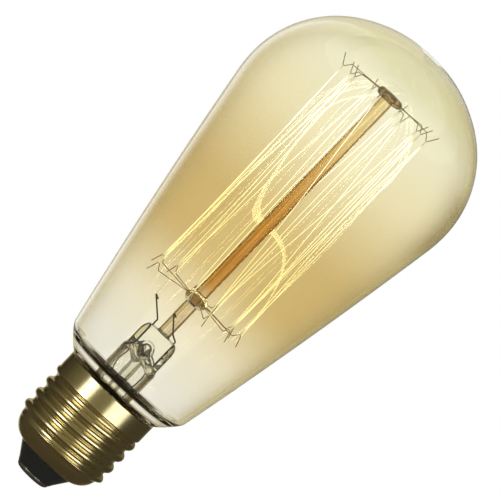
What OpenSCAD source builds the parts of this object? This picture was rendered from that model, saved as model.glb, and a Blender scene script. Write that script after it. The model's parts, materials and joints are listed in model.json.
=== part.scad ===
// Squirrel-cage filament lamp: a teardrop glass bulb on a 27 mm screw cap.
// The origin is the centre of the cap's bottom contact, and +Z runs up the lamp's axis to the top of the glass.

/* [Glass bulb] */
// Height from the bottom contact to the top of the glass
overall_length = 136; // [135.5:0.1:136.5]
// Radius of the dome round the top
dome_radius = 34.2; // [34:0.1:34.6]
// Radius of the bulb at its widest ring
widest_radius = 31.05; // [30.9:0.05:31.2]
// Height of the widest ring
widest_height = 107.8; // [107.4:0.1:108.2]
// Radius of the curve just below the widest ring
hip_radius = 33; // [30:1:36]
// Slope of the flank at its top, in degrees off the axis
flank_slope = 9.2; // [9:0.1:9.4]
// Radius of the flank's slight bulge
flank_radius = 1400; // [1300:50:1500]
// Height of the shoulder over the cap
shoulder_height = 34.15; // [34:0.05:34.4]
// Radius of the shoulder
shoulder_radius = 3; // [2.5:0.5:3.5]
// Slope of the bowl just below the shoulder, in degrees off the axis
bowl_slope = 36; // [35:1:37]
// Radius of the bowl between shoulder and throat
bowl_radius = 24; // [23:1:25]
// Slope of the bowl where it enters the cap, in degrees off the axis
throat_slope = 52; // [51:1:53]
// Radius of the throat's inward turn
throat_radius = 4; // [3.8:0.1:4.2]
// Thickness of the blown glass
glass_wall = 0.8; // [0.7:0.05:0.9]

/* [Screw cap] */
// Radius at the crests of the thread
crest_radius = 13.08; // [13.05:0.01:13.1]
// Pitch of the thread, seven turns to the inch
thread_pitch = 3.629; // [3.6:0.001:3.66]
// Radius of the rounded crests and roots
thread_round = 1.025; // [1.02:0.005:1.03]
// Height of a crest on the lamp's left side
crest_height = 19.5; // [18.5:0.1:20.5]
// Height of the foot of the thread
thread_foot = 9.3; // [9:0.1:9.6]
// Height of the top of the thread
thread_top = 24.4; // [24.2:0.1:24.6]
// Radius of the smooth collar over the thread
collar_radius = 12.85; // [12.85:0.01:12.9]
// Height of the collar's rim
rim_height = 28.1; // [28:0.05:28.2]
// Thickness of the brass
brass_wall = 0.3; // [0.25:0.05:0.35]
// Radius of the curl that turns in under the thread
curl_radius = 5; // [4.9:0.1:5.1]
// Radius of the hole in the curl that the insulator fills
lip_radius = 7.75; // [7.6:0.05:7.9]

/* [Contact and insulator] */
// Radius of the bottom contact
contact_radius = 4.7; // [4.5:0.1:4.8]
// Height of the bottom contact
contact_height = 1.15; // [1.1:0.05:1.2]
// Radius of the contact's rounded edge
contact_round = 1.1; // [0.9:0.1:1.1]
// Thickness of the contact's metal
contact_wall = 0.35; // [0.25:0.05:0.4]
// Height of the insulator's top, inside the cap
insulator_top = 7.6; // [7:0.1:8]

/* [Glass mount] */
// Distance that the mount stands off the lamp's axis
mount_shift = -0.5; // [-0.5:0.1:0]
// Outer radius of the flare's tube
flare_radius = 5.5; // [5.3:0.1:5.6]
// Wall of the flare and of its tube
flare_wall = 0.9; // [0.8:0.05:1]
// Height at which the flare starts to open
flare_height = 18; // [17.5:0.1:18.5]
// Height of the foot of the pinched press
press_foot = 36.5; // [36:0.1:37]
// Height of the top of the press
press_top = 45.7; // [45.5:0.1:46]
// Width of the press across its flat
press_width = 10.1; // [9.8:0.1:10.3]
// Thickness of the press
press_thickness = 4.4; // [4.2:0.1:4.6]
// Radius of the exhaust tube
exhaust_radius = 1.45; // [1.3:0.05:1.5]
// Radius of the glass rod that carries the cage
rod_radius = 1.675; // [1.6:0.025:1.7]
// Height of the rod's top
rod_top = 122.2; // [122:0.1:122.3]

/* [Filament cage] */
// Radius of the ring of hooks
cage_radius = 13.2; // [13:0.1:13.4]
// Height at which the filament hangs on the top hooks
top_seat = 120.4; // [120:0.1:120.6]
// Height at which the filament passes the lower hooks
lower_seat = 58.3; // [58:0.1:58.6]
// Thickness of the hooks' wire
hook_wire = 0.2; // [0.16:0.02:0.24]
// Thickness of the filament
filament_wire = 0.16; // [0.12:0.02:0.2]
// Thickness of the lead wires
lead_wire = 0.4; // [0.36:0.02:0.44]

/* [Hidden] */

// Fineness of round shapes in a preview
round_fn = 96;
fine_fn = 400;
wire_fn = 20;
// Facets round the thin wires and round the leads, and the bends of the leads
fine_facets = 6;
lead_facets = 8;
lead_bend = 0.3;
outer_lead_bend = 0.5;
// Largest turn and height of one band of the glass
band_turn = 2.5;
band_height = 12;

// Directions of the hooks round the rod, in degrees from +X, in the order in which the filament meets them
top_angles = [226, 190, 143, 110, 73, 41, 5, -34, -65, -99];
lower_angles = [202, 168, 132, 100, 70, 35, 0, -37, -69];
// How far each hook was bent up or down by hand
top_trims = [0.1, -0.2, -0.9, -0.2, 0.1, 0, 0.2, 0.9, 0, 0.4];
lower_trims = [-0.5, 0.8, 0.6, 0.2, 0.3, -0.5, 0, 0, -0.7];

// Unit vector that points out of the glass where its slope is a
function outward(a) = [cos(a), -sin(a)];
// Centre of an arc that bulges out, and of one that turns in, from a point where the slope is a
function bulge_centre(p, radius, a) = p - radius * outward(a);
function hollow_centre(p, radius, a) = p + radius * outward(a);

dome_centre = [0, overall_length - dome_radius];
rise = widest_height - dome_centre[1];
crown_radius = (pow(dome_radius, 2) - pow(widest_radius, 2) - rise * rise) / (2 * (dome_radius - widest_radius));
crown_centre = [widest_radius - crown_radius, widest_height];
crown_slope = -atan2(rise, crown_centre[0]);
crown_point = dome_centre + dome_radius * outward(crown_slope);
widest_point = [widest_radius, widest_height];
hip_centre = bulge_centre(widest_point, hip_radius, 0);
hip_point = hip_centre + hip_radius * outward(flank_slope);
flank_centre = bulge_centre(hip_point, flank_radius, flank_slope);
flank_end_slope = asin((flank_centre[1] - shoulder_height) / flank_radius);
flank_point = flank_centre + flank_radius * outward(flank_end_slope);
shoulder_centre = bulge_centre(flank_point, shoulder_radius, flank_end_slope);
shoulder_point = shoulder_centre + shoulder_radius * outward(bowl_slope);
bowl_centre = bulge_centre(shoulder_point, bowl_radius, bowl_slope);
bowl_point = bowl_centre + bowl_radius * outward(throat_slope);
throat_centre = hollow_centre(bowl_point, throat_radius, throat_slope);
throat_point = throat_centre - [throat_radius, 0];

// Arcs down the outline: centre, radius, end point, slope at the end, and whether the arc bulges out
arcs = [
    [dome_centre, dome_radius, crown_point, crown_slope, true],
    [crown_centre, crown_radius, widest_point, 0, true],
    [hip_centre, hip_radius, hip_point, flank_slope, true],
    [flank_centre, flank_radius, flank_point, flank_end_slope, true],
    [shoulder_centre, shoulder_radius, shoulder_point, bowl_slope, true],
    [bowl_centre, bowl_radius, bowl_point, throat_slope, true],
    [throat_centre, throat_radius, throat_point, 0, false]
];

neck_radius = throat_point[0];
neck_bore = neck_radius - glass_wall;
sweep_radius = neck_bore - flare_radius;
neck_foot = flare_height - sweep_radius - flare_wall;

flare_bore = flare_radius - flare_wall;
exhaust_wall = 0.6;
exhaust_tip = 14;
exhaust_top = 38.4;
press_middle = -0.25;
press_flat_foot = 39.8;
press_corner = 2;
press_edge = 0.5;
cavity_top = 39.2;
cavity_slit = 0.25;
port_x = -0.9;
port_z = 40.1;
port_radius = 1.25;

left_lead_x = -3.85;
right_lead_x = 2.85;
seal_foot = 37.9;
seal_top = 44.2;

curl_centre = [6.9, thread_foot + 1.1];
curl_inner_radius = curl_radius - brass_wall;
lip_foot = curl_centre[1] - sqrt(pow(curl_radius, 2) - pow(lip_radius - curl_centre[0], 2));
collar_bore = collar_radius - brass_wall;
root_radius = crest_radius - 2 * (thread_round - sqrt(pow(thread_round, 2) - pow(thread_pitch / 4, 2)));
thread_run_out = 1.2;
thread_lean = 1;
thread_columns = 48;
thread_rows = 40;
// How far the rolled wall reaches into the collar and the curl, and how much thinner it is there
tuck_reach = 0.3;
tuck_start = 0.1;
tuck_in = 0.06;

side_angle = 60;
side_exit = 27.2;
outer_lead_wire = 0.3;
outer_lead_hole = 0.34;
cement_foot = 24.6;
cement_top = 27.9;
insulator_hole = 0.6;
contact_hole = 0.9;
solder_foot_radius = 0.85;
solder_top_radius = 0.4;
solder_reach = 13.06;

button_radius = 3.5;
button_height = 1.7;
button_top = 123.2;
button_foot_ring = 2;
bead_button_radius = 3.1;
bead_button_half = 1.7;
bead_button_height = 57;
embed = 0.8;
hook_bend = 0.35;
hook_arm_z = 122.25;

// Fraction from 0 to 1 that eases in and out as x goes from 0 to 1
function eased(x) = let (t = min(1, max(0, x))) t * t * (3 - 2 * t);
function blended(a, b, share) = a + (b - a) * share;
function unit(v) = v / norm(v);
function turn_between(a, b) = acos(min(1, max(-1, a * b)));

// Point in space at a radius, an angle round the rod and a height
function round_rod(radius, angle, z) = [mount_shift + radius * cos(angle), radius * sin(angle), z];

// Moves what follows so that its X, Y and Z lie along three unit vectors, with its origin at p
module laid_along(x, y, z, p) {
    multmatrix([
        [x[0], y[0], z[0], p[0]],
        [x[1], y[1], z[1], p[1]],
        [x[2], y[2], z[2], p[2]],
        [0, 0, 0, 1]
    ]) children();
}

// Straight round wire from a to b
module straight_wire(a, b, thickness) {
    z = unit(b - a);
    helper = abs(z[2]) < 0.9 ? [0, 0, 1] : [1, 0, 0];
    x = unit(cross(helper, z));
    laid_along(x, cross(z, x), z, a) cylinder(h = norm(b - a), d = thickness, $fn = wire_fn);
}

// Points along the bend that takes a wire round one corner
function bend_points(before, corner, after, bend, steps) = let (
    way_in = unit(corner - before),
    way_out = unit(after - corner),
    turn = turn_between(way_in, way_out),
    inner = turn < 0.1 ? way_in : unit(way_out - (way_in * way_out) * way_in),
    centre = corner - way_in * bend * tan(turn / 2) + inner * bend
) turn < 0.1 ? [corner] : [
    for (k = [0 : steps]) centre + bend * (way_in * sin(turn * k / steps) - inner * cos(turn * k / steps))
];

// A wire's corner points with each corner rounded to a bend
function rounded(points, bend, steps) = let (last = len(points) - 1) [
    points[0],
    for (i = [1 : last - 1]) each bend_points(points[i - 1], points[i], points[i + 1], bend, steps),
    points[last]
];

// Direction of a path at each of its points
function directions(path) = let (last = len(path) - 1) [
    for (i = [0 : last])
        unit(unit(path[min(last, i + 1)] - path[min(last - 1, i)]) + unit(path[max(1, i)] - path[max(0, i - 1)]))
];

// Sideways direction at each point, carried along the path so that the wire doesn't twist
function carried_sides(ways) = let (
    helper = abs(ways[0][2]) < 0.9 ? [0, 0, 1] : [1, 0, 0],
    first = unit(cross(helper, ways[0]))
) [
    for (i = 0, side = first; i < len(ways);
        i = i + 1, side = i < len(ways) ? unit(side - (side * ways[i]) * ways[i]) : side) side
];

// Round wire swept along a list of corner points, with a bend at each corner
module wire(points, thickness, bend, facets, steps) {
    path = rounded(points, bend, steps);
    ways = directions(path);
    sides = carried_sides(ways);
    last = len(path) - 1;
    spots = [
        for (i = [0 : last], k = [0 : facets - 1])
            let (angle = 360 * k / facets)
                path[i] + thickness / 2 * (cos(angle) * sides[i] + sin(angle) * cross(ways[i], sides[i]))
    ];
    faces = [
        [for (k = [0 : facets - 1]) k],
        [for (k = [facets - 1 : -1 : 0]) last * facets + k],
        for (i = [0 : last - 1], k = [0 : facets - 1]) let (
            a = i * facets + k,
            b = i * facets + (k + 1) % facets
        ) each [[a, a + facets, b + facets], [a, b + facets, b]]
    ];
    polyhedron(points = spots, faces = faces, convexity = 10);
}

// Points down one arc of the outline, set in from the outside
function arc_points(arc, start_slope, inset) = let (
    turn = arc[3] - start_slope,
    count = ceil(abs(turn) * max(1 / band_turn, arc[1] * PI / 180 / band_height)),
    reach = arc[4] ? arc[1] - inset : -arc[1] - inset
) [for (k = [1 : count]) arc[0] + reach * outward(start_slope + turn * k / count)];

// Half outline of the bulb, filled to the axis, and set in from the outside
module bulb_fill(inset, foot) {
    polygon([
        [0, foot], [0, overall_length - inset],
        for (i = [0 : len(arcs) - 1]) each arc_points(arcs[i], i == 0 ? -90 : arcs[i - 1][3], inset),
        [neck_radius - inset, foot]
    ]);
}

module glass_envelope() {
    color([0.95, 0.78, 0.42, 0.35])
        rotate_extrude($fn = round_fn)
            difference() {
                bulb_fill(0, neck_foot);
                bulb_fill(glass_wall, neck_foot - 1);
            }
}

// Tube with a skirt that sweeps out in a quarter turn to meet the neck of the bulb
module stem_flare() {
    overlap = 0.6;
    color([0.85, 0.92, 0.88, 0.5])
        union() {
            rotate_extrude($fn = round_fn)
                intersection() {
                    translate([0, neck_foot]) square([neck_bore, flare_height - neck_foot]);
                    translate([neck_bore, flare_height]) difference() {
                        circle(r = sweep_radius + flare_wall, $fn = round_fn);
                        circle(r = sweep_radius, $fn = round_fn);
                    }
                }
            translate([mount_shift, 0, flare_height - overlap]) difference() {
                cylinder(r = flare_radius, h = press_foot - flare_height + overlap, $fn = round_fn);
                translate([0, 0, -1]) cylinder(r = flare_bore, h = press_foot, $fn = round_fn);
            }
        }
}

// Front outline of the press, with round top corners
module press_front() {
    left = press_middle - press_width / 2;
    right = press_middle + press_width / 2;
    corner_z = press_top - press_corner;
    waist_z = press_foot + 1.6;
    polygon([
        [mount_shift - flare_radius, press_foot], [mount_shift + flare_radius, press_foot],
        [right, waist_z], [right, corner_z], [right - press_corner, press_top],
        [left + press_corner, press_top], [left, corner_z], [left, waist_z]
    ]);
    for (x = [left + press_corner, right - press_corner]) {
        translate([x, corner_z]) circle(r = press_corner, $fn = round_fn);
    }
}

// Side outline of the press: a tube squeezed to a flat, with round top edges
module press_side() {
    half = press_thickness / 2;
    edge_z = press_top - press_edge;
    polygon([
        [-flare_radius, press_foot], [flare_radius, press_foot], [half, press_flat_foot],
        [half, edge_z], [half - press_edge, press_top],
        [press_edge - half, press_top], [-half, edge_z], [-half, press_flat_foot]
    ]);
    for (side = [-1, 1]) {
        translate([side * (half - press_edge), edge_z]) circle(r = press_edge, $fn = round_fn);
    }
}

// The tube's bore where it is squeezed shut
module press_cavity() {
    intersection() {
        translate([mount_shift, 0, press_foot - 1]) cylinder(r = flare_bore, h = cavity_top, $fn = round_fn);
        rotate([90, 0, 90]) linear_extrude(height = 4 * flare_radius, center = true) polygon([
            [-flare_bore, press_foot - 1], [flare_bore, press_foot - 1], [flare_bore, press_foot],
            [cavity_slit, cavity_top], [-cavity_slit, cavity_top], [-flare_bore, press_foot]
        ]);
    }
}

module stem_press() {
    color([0.85, 0.92, 0.88, 0.5])
        difference() {
            intersection() {
                translate([mount_shift, 0, press_foot])
                    cylinder(r = flare_radius, h = press_top - press_foot, $fn = round_fn);
                rotate([90, 0, 0]) linear_extrude(height = 4 * flare_radius, center = true) press_front();
                rotate([90, 0, 90]) linear_extrude(height = 4 * flare_radius, center = true) press_side();
            }
            press_cavity();
            translate([mount_shift, 0, press_foot])
                cylinder(r = exhaust_radius, h = exhaust_top - press_foot, $fn = round_fn);
            translate([mount_shift, 0, press_foot])
                cylinder(r = exhaust_radius - exhaust_wall, h = port_z - press_foot, $fn = round_fn);
            translate([port_x, 0, port_z]) rotate([90, 0, 0])
                cylinder(r = port_radius, h = press_thickness, $fn = round_fn);
            for (x = [left_lead_x, right_lead_x]) {
                translate([x, 0, seal_foot]) cylinder(d = lead_wire, h = press_top, $fn = wire_fn);
            }
        }
}

// Pumping tube, drawn off to a closed tip inside the cap
module exhaust_tube() {
    bore = exhaust_radius - exhaust_wall;
    color([0.85, 0.92, 0.88, 0.5])
        translate([mount_shift, 0, 0])
            rotate_extrude($fn = round_fn)
                polygon([
                    [0, exhaust_tip], [0.3, exhaust_tip], [exhaust_radius, exhaust_tip + 2.8],
                    [exhaust_radius, exhaust_top], [bore, exhaust_top],
                    [bore, exhaust_tip + 3.2], [0, exhaust_tip + 1.6]
                ]);
}

module arbor_rod() {
    color([0.85, 0.6, 0.25, 0.7])
        translate([mount_shift, 0, press_top])
            cylinder(r = rod_radius, h = rod_top - press_top, $fn = round_fn);
}

// Path of a top hook: an arm out of the button, a V that holds the filament, and a free tip
function top_hook_path(i) = let (a = top_angles[i], z = top_seat + top_trims[i]) [
    round_rod(button_radius - embed, a, hook_arm_z),
    round_rod(button_radius + 0.6, a, hook_arm_z),
    round_rod(cage_radius - 1.35, a, z + 1.65),
    round_rod(cage_radius, a, z - 0.2),
    round_rod(cage_radius + 1.7, a, z + 2.6)
];

// Path of a lower hook, whose V stands the other way up
function lower_hook_path(i) = let (a = lower_angles[i], z = lower_seat + lower_trims[i]) [
    round_rod(bead_button_radius - embed, a, bead_button_height),
    round_rod(bead_button_radius + 0.6, a, bead_button_height),
    round_rod(cage_radius - 1.3, a, z - 1.7),
    round_rod(cage_radius, a, z + 0.2),
    round_rod(cage_radius + 1.1, a, z - 3.1)
];

// Round glass button with one radial hole for each hook's arm
module button_holes(angles, radius, z) {
    for (a = angles) {
        straight_wire(round_rod(radius - embed, a, z), round_rod(radius + 1, a, z), hook_wire);
    }
}

module top_button() {
    half = button_height / 2;
    color([0.8, 0.55, 0.25, 0.8])
        difference() {
            translate([mount_shift, 0, button_top - half])
                rotate_extrude($fn = round_fn) {
                    translate([0, -half]) square([button_radius - half, button_height]);
                    intersection() {
                        translate([button_radius - half, 0]) circle(r = half, $fn = round_fn);
                        translate([0, -half]) square([button_radius, button_height]);
                    }
                    translate([0, -half - 0.4]) square([button_foot_ring, 0.5]);
                }
            translate([mount_shift, 0, rod_top - 5])
                cylinder(r = rod_radius, h = 5, $fn = round_fn);
            button_holes(top_angles, button_radius, hook_arm_z);
        }
}

module lower_button() {
    bulge = 2.2;
    color([0.85, 0.75, 0.5, 0.8])
        difference() {
            translate([mount_shift, 0, bead_button_height])
                rotate_extrude($fn = round_fn)
                    intersection() {
                        translate([0, -bead_button_half]) square([bead_button_radius, 2 * bead_button_half]);
                        union() {
                            translate([bead_button_radius - bulge, 0]) circle(r = bulge, $fn = round_fn);
                            translate([0, -bulge]) square([bead_button_radius - bulge, 2 * bulge]);
                        }
                    }
            translate([mount_shift, 0, bead_button_height - 5])
                cylinder(r = rod_radius, h = 10, $fn = round_fn);
            button_holes(lower_angles, bead_button_radius, bead_button_height);
        }
}

module top_hook(i) {
    color([0.35, 0.32, 0.28]) wire(top_hook_path(i), hook_wire, hook_bend, fine_facets, 2);
}

module lower_hook(i) {
    color([0.35, 0.32, 0.28]) wire(lower_hook_path(i), hook_wire, hook_bend, fine_facets, 2);
}

// Middle of a hook's wire at the bend where the filament sits
function seat_of(path) = let (
    corner = path[3],
    back = unit(path[2] - corner),
    on = unit(path[4] - corner),
    turn = 180 - turn_between(back, on)
) corner + unit(back + on) * hook_bend * (1 / cos(turn / 2) - 1);

// Two corners that take the filament over a hook's wire, or under it where side is -1
function saddle(seat, angle, side) = let (
    reach = (hook_wire + filament_wire) / 2 + 0.01,
    on = [sin(angle), -cos(angle), 0] * reach,
    off = [0, 0, side * reach]
) [seat - on + off, seat + on + off];

left_clamp = [-8.2, -5.5, 52];
right_clamp = [-2.2, -6.5, 51.8];

// The filament's whole way: up from the left lead, round every hook in turn, and down to the right lead
filament_path = [
    left_clamp,
    for (i = [0 : len(top_angles) - 1]) each [
        each saddle(seat_of(top_hook_path(i)), top_angles[i], 1),
        if (i < len(lower_angles)) each saddle(seat_of(lower_hook_path(i)), lower_angles[i], -1)
    ],
    right_clamp
];

module filament() {
    color([1, 0.75, 0.3]) wire(filament_path, filament_wire, (hook_wire + filament_wire) / 2, fine_facets, 2);
}

// Inner leads, each with its end folded back to hold the filament
left_lead_path = [
    [left_lead_x, 0, seal_top], [left_lead_x, 0, 47.3],
    left_clamp + [-0.15, -0.3, 0.2], left_clamp + [1.25, -0.3, -0.55]
];
right_lead_path = [
    [right_lead_x, 0, seal_top], [right_lead_x, 0, 46.3], [1.3, -2.6, 47.4],
    right_clamp + [-0.15, -0.3, 0.2], right_clamp + [1.25, -0.3, -0.55]
];

module left_inner_lead() {
    color([0.3, 0.28, 0.2]) wire(left_lead_path, lead_wire, lead_bend, lead_facets, 4);
}

module right_inner_lead() {
    color([0.3, 0.28, 0.2]) wire(right_lead_path, lead_wire, lead_bend, lead_facets, 4);
}

// Lengths of copper-clad wire that the glass seals on
module seal_wire(x) {
    color([0.45, 0.2, 0.12])
        translate([x, 0, seal_foot]) cylinder(d = lead_wire, h = seal_top - seal_foot, $fn = wire_fn);
}

// Lead that runs down the tube and through the insulator to the bottom contact
centre_lead_path = [
    [left_lead_x, 0, seal_foot], [left_lead_x, 0, 36.6], [-4.3, 0.4, 34.6], [-3.6, 0.2, 31.6],
    [-3.4, 0, 15], [0, 0, 10.5], [0, 0, 0.2]
];

// Point at a radius and a height on the side where the side lead runs
function beside_neck(radius, z) = [radius * cos(side_angle), radius * sin(side_angle), z];

// Lead that runs down the tube, out under the neck, up through the cement and out through the collar
side_lead_path = [
    [right_lead_x, 0, seal_foot], [right_lead_x, 0, 36.8], [3.1, 0.3, 34.5], [2.9, 0, 31.5],
    [2.6, 0.6, 14], beside_neck(5.5, 10.9), beside_neck(neck_radius + 0.33, 10.9),
    beside_neck(neck_radius + 0.33, cement_foot), beside_neck(collar_bore - 0.35, side_exit),
    beside_neck(collar_radius, side_exit)
];

module centre_outer_lead() {
    color([0.72, 0.38, 0.2]) wire(centre_lead_path, outer_lead_wire, outer_lead_bend, lead_facets, 2);
}

module side_outer_lead() {
    color([0.72, 0.38, 0.2]) wire(side_lead_path, outer_lead_wire, outer_lead_bend, lead_facets, 2);
}

// Radius of the thread's rolled profile at a distance along the axis from its crest
function thread_radius(u) = let (quarter = thread_pitch / 4, d = abs(u)) d <= quarter
    ? crest_radius - thread_round + sqrt(pow(thread_round, 2) - d * d)
    : root_radius + thread_round - sqrt(pow(thread_round, 2) - pow(2 * quarter - d, 2));

// Radius of the curl's outside at a height
function curl_outside(z) = curl_centre[0] + sqrt(pow(curl_radius, 2) - pow(curl_centre[1] - z, 2));

// Radius of the shell in the threaded stretch, where the right-hand helix runs out at both ends
function shell_radius(angle, z) = let (
    along = z - crest_height - thread_pitch * (angle - 180) / 360,
    thread = thread_radius(along - thread_pitch * round(along / thread_pitch)),
    top = thread_top - thread_lean * (1 + cos(angle)) / 2,
    above_foot = blended(curl_outside(min(z, thread_foot)), thread, eased((z - thread_foot) / thread_run_out))
) blended(above_foot, collar_radius, eased((z - top) / thread_run_out + 1));

// Rolled thread as a wall between two helical surfaces
module thread_wall() {
    low = thread_foot + tuck_start;
    high = thread_top - tuck_start;
    rows = [
        thread_foot - tuck_reach,
        for (j = [0 : thread_rows]) blended(low, high, j / thread_rows),
        thread_top + tuck_reach
    ];
    spots = [
        for (side = [1, -1], z = rows, i = [0 : thread_columns - 1]) let (
            angle = 360 * i / thread_columns,
            tuck = z > low && z < high ? 0 : tuck_in,
            inset = side == 1 ? tuck : brass_wall - tuck,
            radius = shell_radius(angle, z) - inset
        ) [radius * cos(angle), radius * sin(angle), z]
    ];
    inner = len(rows) * thread_columns;
    top = inner - thread_columns;
    faces = [
        for (j = [0 : len(rows) - 2], i = [0 : thread_columns - 1]) let (
            a = j * thread_columns + i,
            b = j * thread_columns + (i + 1) % thread_columns,
            c = a + thread_columns,
            d = b + thread_columns
        ) each [
            [a, c, d], [a, d, b],
            [inner + a, inner + d, inner + c], [inner + a, inner + b, inner + d]
        ],
        for (i = [0 : thread_columns - 1]) let (k = (i + 1) % thread_columns) each [
            [top + k, top + i, inner + top + i], [top + k, inner + top + i, inner + top + k],
            [i, k, inner + k], [i, inner + k, inner + i]
        ]
    ];
    polyhedron(points = spots, faces = faces, convexity = 10);
}

// Thin pressed brass: a smooth collar, the rolled thread, and a curl that turns in under it
module screw_shell() {
    color([0.78, 0.64, 0.3])
        union() {
            thread_wall();
            difference() {
                rotate_extrude($fn = round_fn) {
                    translate([collar_bore, thread_top])
                        square([brass_wall, rim_height - brass_wall / 2 - thread_top]);
                    translate([collar_bore + brass_wall / 2, rim_height - brass_wall / 2])
                        circle(d = brass_wall, $fn = 24);
                }
                straight_wire(beside_neck(collar_bore - 1, side_exit),
                    beside_neck(collar_radius + 1, side_exit), outer_lead_hole);
            }
            rotate_extrude($fn = round_fn)
                intersection() {
                    translate(curl_centre) difference() {
                        circle(r = curl_radius, $fn = round_fn);
                        circle(r = curl_inner_radius, $fn = round_fn);
                    }
                    translate([lip_radius, 0]) square([2 * curl_radius, thread_foot]);
                }
        }
}

// Half outline of the contact's cup, filled to the axis
module contact_fill(inset) {
    flat = contact_radius - contact_round;
    translate([0, inset]) square([flat, contact_height - inset]);
    intersection() {
        translate([flat, contact_round]) circle(r = contact_round - inset, $fn = round_fn);
        translate([0, inset]) square([contact_radius, contact_round - inset]);
    }
    translate([0, contact_round]) square([contact_radius - inset, contact_height - contact_round]);
}

// Black glass moulded into the curl, with a boss in the contact's cup and a hole for the lead
module insulator() {
    color([0.07, 0.07, 0.08])
        rotate_extrude($fn = round_fn)
            difference() {
                union() {
                    contact_fill(contact_wall);
                    polygon([
                        [0, contact_height], [contact_radius + 0.2, contact_height], [contact_radius + 0.6, 1.9],
                        [lip_radius, lip_foot], [lip_radius, insulator_top], [0, insulator_top]
                    ]);
                    intersection() {
                        translate(curl_centre) circle(r = curl_inner_radius, $fn = round_fn);
                        translate([lip_radius, 0]) square([curl_radius, insulator_top]);
                    }
                }
                square([insulator_hole, insulator_top + 1]);
            }
}

module centre_contact() {
    color([0.75, 0.73, 0.68])
        rotate_extrude($fn = round_fn)
            difference() {
                contact_fill(0);
                contact_fill(contact_wall);
                square([contact_hole, contact_height]);
            }
}

// Solder that closes the contact's hole round the end of the lead
module contact_solder() {
    color([0.8, 0.8, 0.82])
        difference() {
            translate([0, 0, 0.03]) cylinder(r = contact_hole, h = contact_wall - 0.03, $fn = round_fn);
            translate([0, 0, 0.2]) cylinder(d = outer_lead_wire, h = 1, $fn = wire_fn);
        }
}

// Spot of solder on the collar that joins the end of the side lead to the shell
module side_solder() {
    color([0.8, 0.8, 0.82])
        difference() {
            rotate([0, 0, side_angle]) translate([collar_bore, 0, side_exit]) rotate([0, 90, 0])
                cylinder(r1 = solder_foot_radius, r2 = solder_top_radius, h = solder_reach - collar_bore,
                    $fn = round_fn);
            cylinder(r = collar_radius, h = rim_height, $fn = fine_fn);
        }
}

// Ring of cement between the collar and the neck of the glass, with a way through for the side lead
module basing_cement() {
    color([0.75, 0.7, 0.6])
        difference() {
            rotate_extrude($fn = round_fn)
                difference() {
                    translate([0, cement_foot]) square([collar_bore, cement_top - cement_foot]);
                    bulb_fill(0, cement_foot - 1);
                }
            straight_wire(side_lead_path[7] - unit(side_lead_path[8] - side_lead_path[7]), side_lead_path[8],
                outer_lead_hole);
            straight_wire(side_lead_path[8], beside_neck(collar_radius, side_exit), outer_lead_hole);
        }
}

glass_envelope();
stem_flare();
stem_press();
exhaust_tube();
arbor_rod();
top_button();
lower_button();
for (i = [0 : len(top_angles) - 1]) {
    top_hook(i);
}
for (i = [0 : len(lower_angles) - 1]) {
    lower_hook(i);
}
filament();
left_inner_lead();
right_inner_lead();
seal_wire(left_lead_x);  // left_seal_wire
seal_wire(right_lead_x);  // right_seal_wire
centre_outer_lead();
side_outer_lead();
screw_shell();
insulator();
centre_contact();
contact_solder();
side_solder();
basing_cement();
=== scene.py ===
"""Models and finishes a lit squirrel-cage filament lamp round its fixed frame."""

import json
import math

import bpy
from bpy.props import FloatProperty, FloatVectorProperty, IntProperty, PointerProperty
from bpy.types import Operator, Panel, PropertyGroup
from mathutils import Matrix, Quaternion, Vector

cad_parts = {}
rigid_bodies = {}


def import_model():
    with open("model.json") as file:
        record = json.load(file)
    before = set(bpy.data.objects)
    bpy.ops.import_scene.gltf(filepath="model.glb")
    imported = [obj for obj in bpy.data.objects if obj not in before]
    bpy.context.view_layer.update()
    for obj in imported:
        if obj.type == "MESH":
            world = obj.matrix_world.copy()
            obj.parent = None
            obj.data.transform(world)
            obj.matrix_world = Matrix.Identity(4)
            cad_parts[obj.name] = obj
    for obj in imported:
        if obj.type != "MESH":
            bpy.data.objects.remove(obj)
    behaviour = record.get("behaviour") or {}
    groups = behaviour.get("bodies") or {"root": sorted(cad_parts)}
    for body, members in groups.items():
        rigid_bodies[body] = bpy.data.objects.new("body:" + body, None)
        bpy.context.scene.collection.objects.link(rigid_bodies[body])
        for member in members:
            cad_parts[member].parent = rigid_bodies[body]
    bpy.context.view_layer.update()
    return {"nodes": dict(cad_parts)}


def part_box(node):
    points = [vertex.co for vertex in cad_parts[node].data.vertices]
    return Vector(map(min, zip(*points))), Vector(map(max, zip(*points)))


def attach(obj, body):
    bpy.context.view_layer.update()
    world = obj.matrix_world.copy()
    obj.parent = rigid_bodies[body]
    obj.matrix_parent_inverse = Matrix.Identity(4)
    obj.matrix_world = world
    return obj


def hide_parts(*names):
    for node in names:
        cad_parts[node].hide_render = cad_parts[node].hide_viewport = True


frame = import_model()

bl_info = {
    "name": "Squirrel-Cage Filament Lamp",
    "version": (1, 0, 0),
    "blender": (4, 5, 0),
    "location": "3D View > Sidebar > Lamp",
    "description": "Models and finishes a teardrop filament lamp, one group of pieces at a time",
    "category": "Object",
}

MM = 0.001
TOP_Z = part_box("glass_envelope")[1].z
ROD_AXIS = (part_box("arbor_rod")[0].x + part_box("arbor_rod")[1].x) / 2
MERGE_DISTANCE = 0.001 * MM
LEFT_CLAMP = Vector((-8.2, -5.5, 52)) * MM
RIGHT_CLAMP = Vector((-2.2, -6.5, 51.8)) * MM


def size(name, description, millimetres):
    """Length property with its default given in millimetres."""
    return FloatProperty(
        name=name, description=description, default=millimetres * MM, unit="LENGTH", precision=5
    )


def angle(name, description, degrees):
    """Angle property with its default given in degrees."""
    return FloatProperty(
        name=name, description=description, default=math.radians(degrees), subtype="ANGLE"
    )


def amount(name, description, default):
    """Plain number property."""
    return FloatProperty(name=name, description=description, default=default)


def colour(name, description, red, green, blue):
    """Linear colour property."""
    return FloatVectorProperty(
        name=name, description=description, default=(red, green, blue), subtype="COLOR", min=0, max=1
    )


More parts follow.
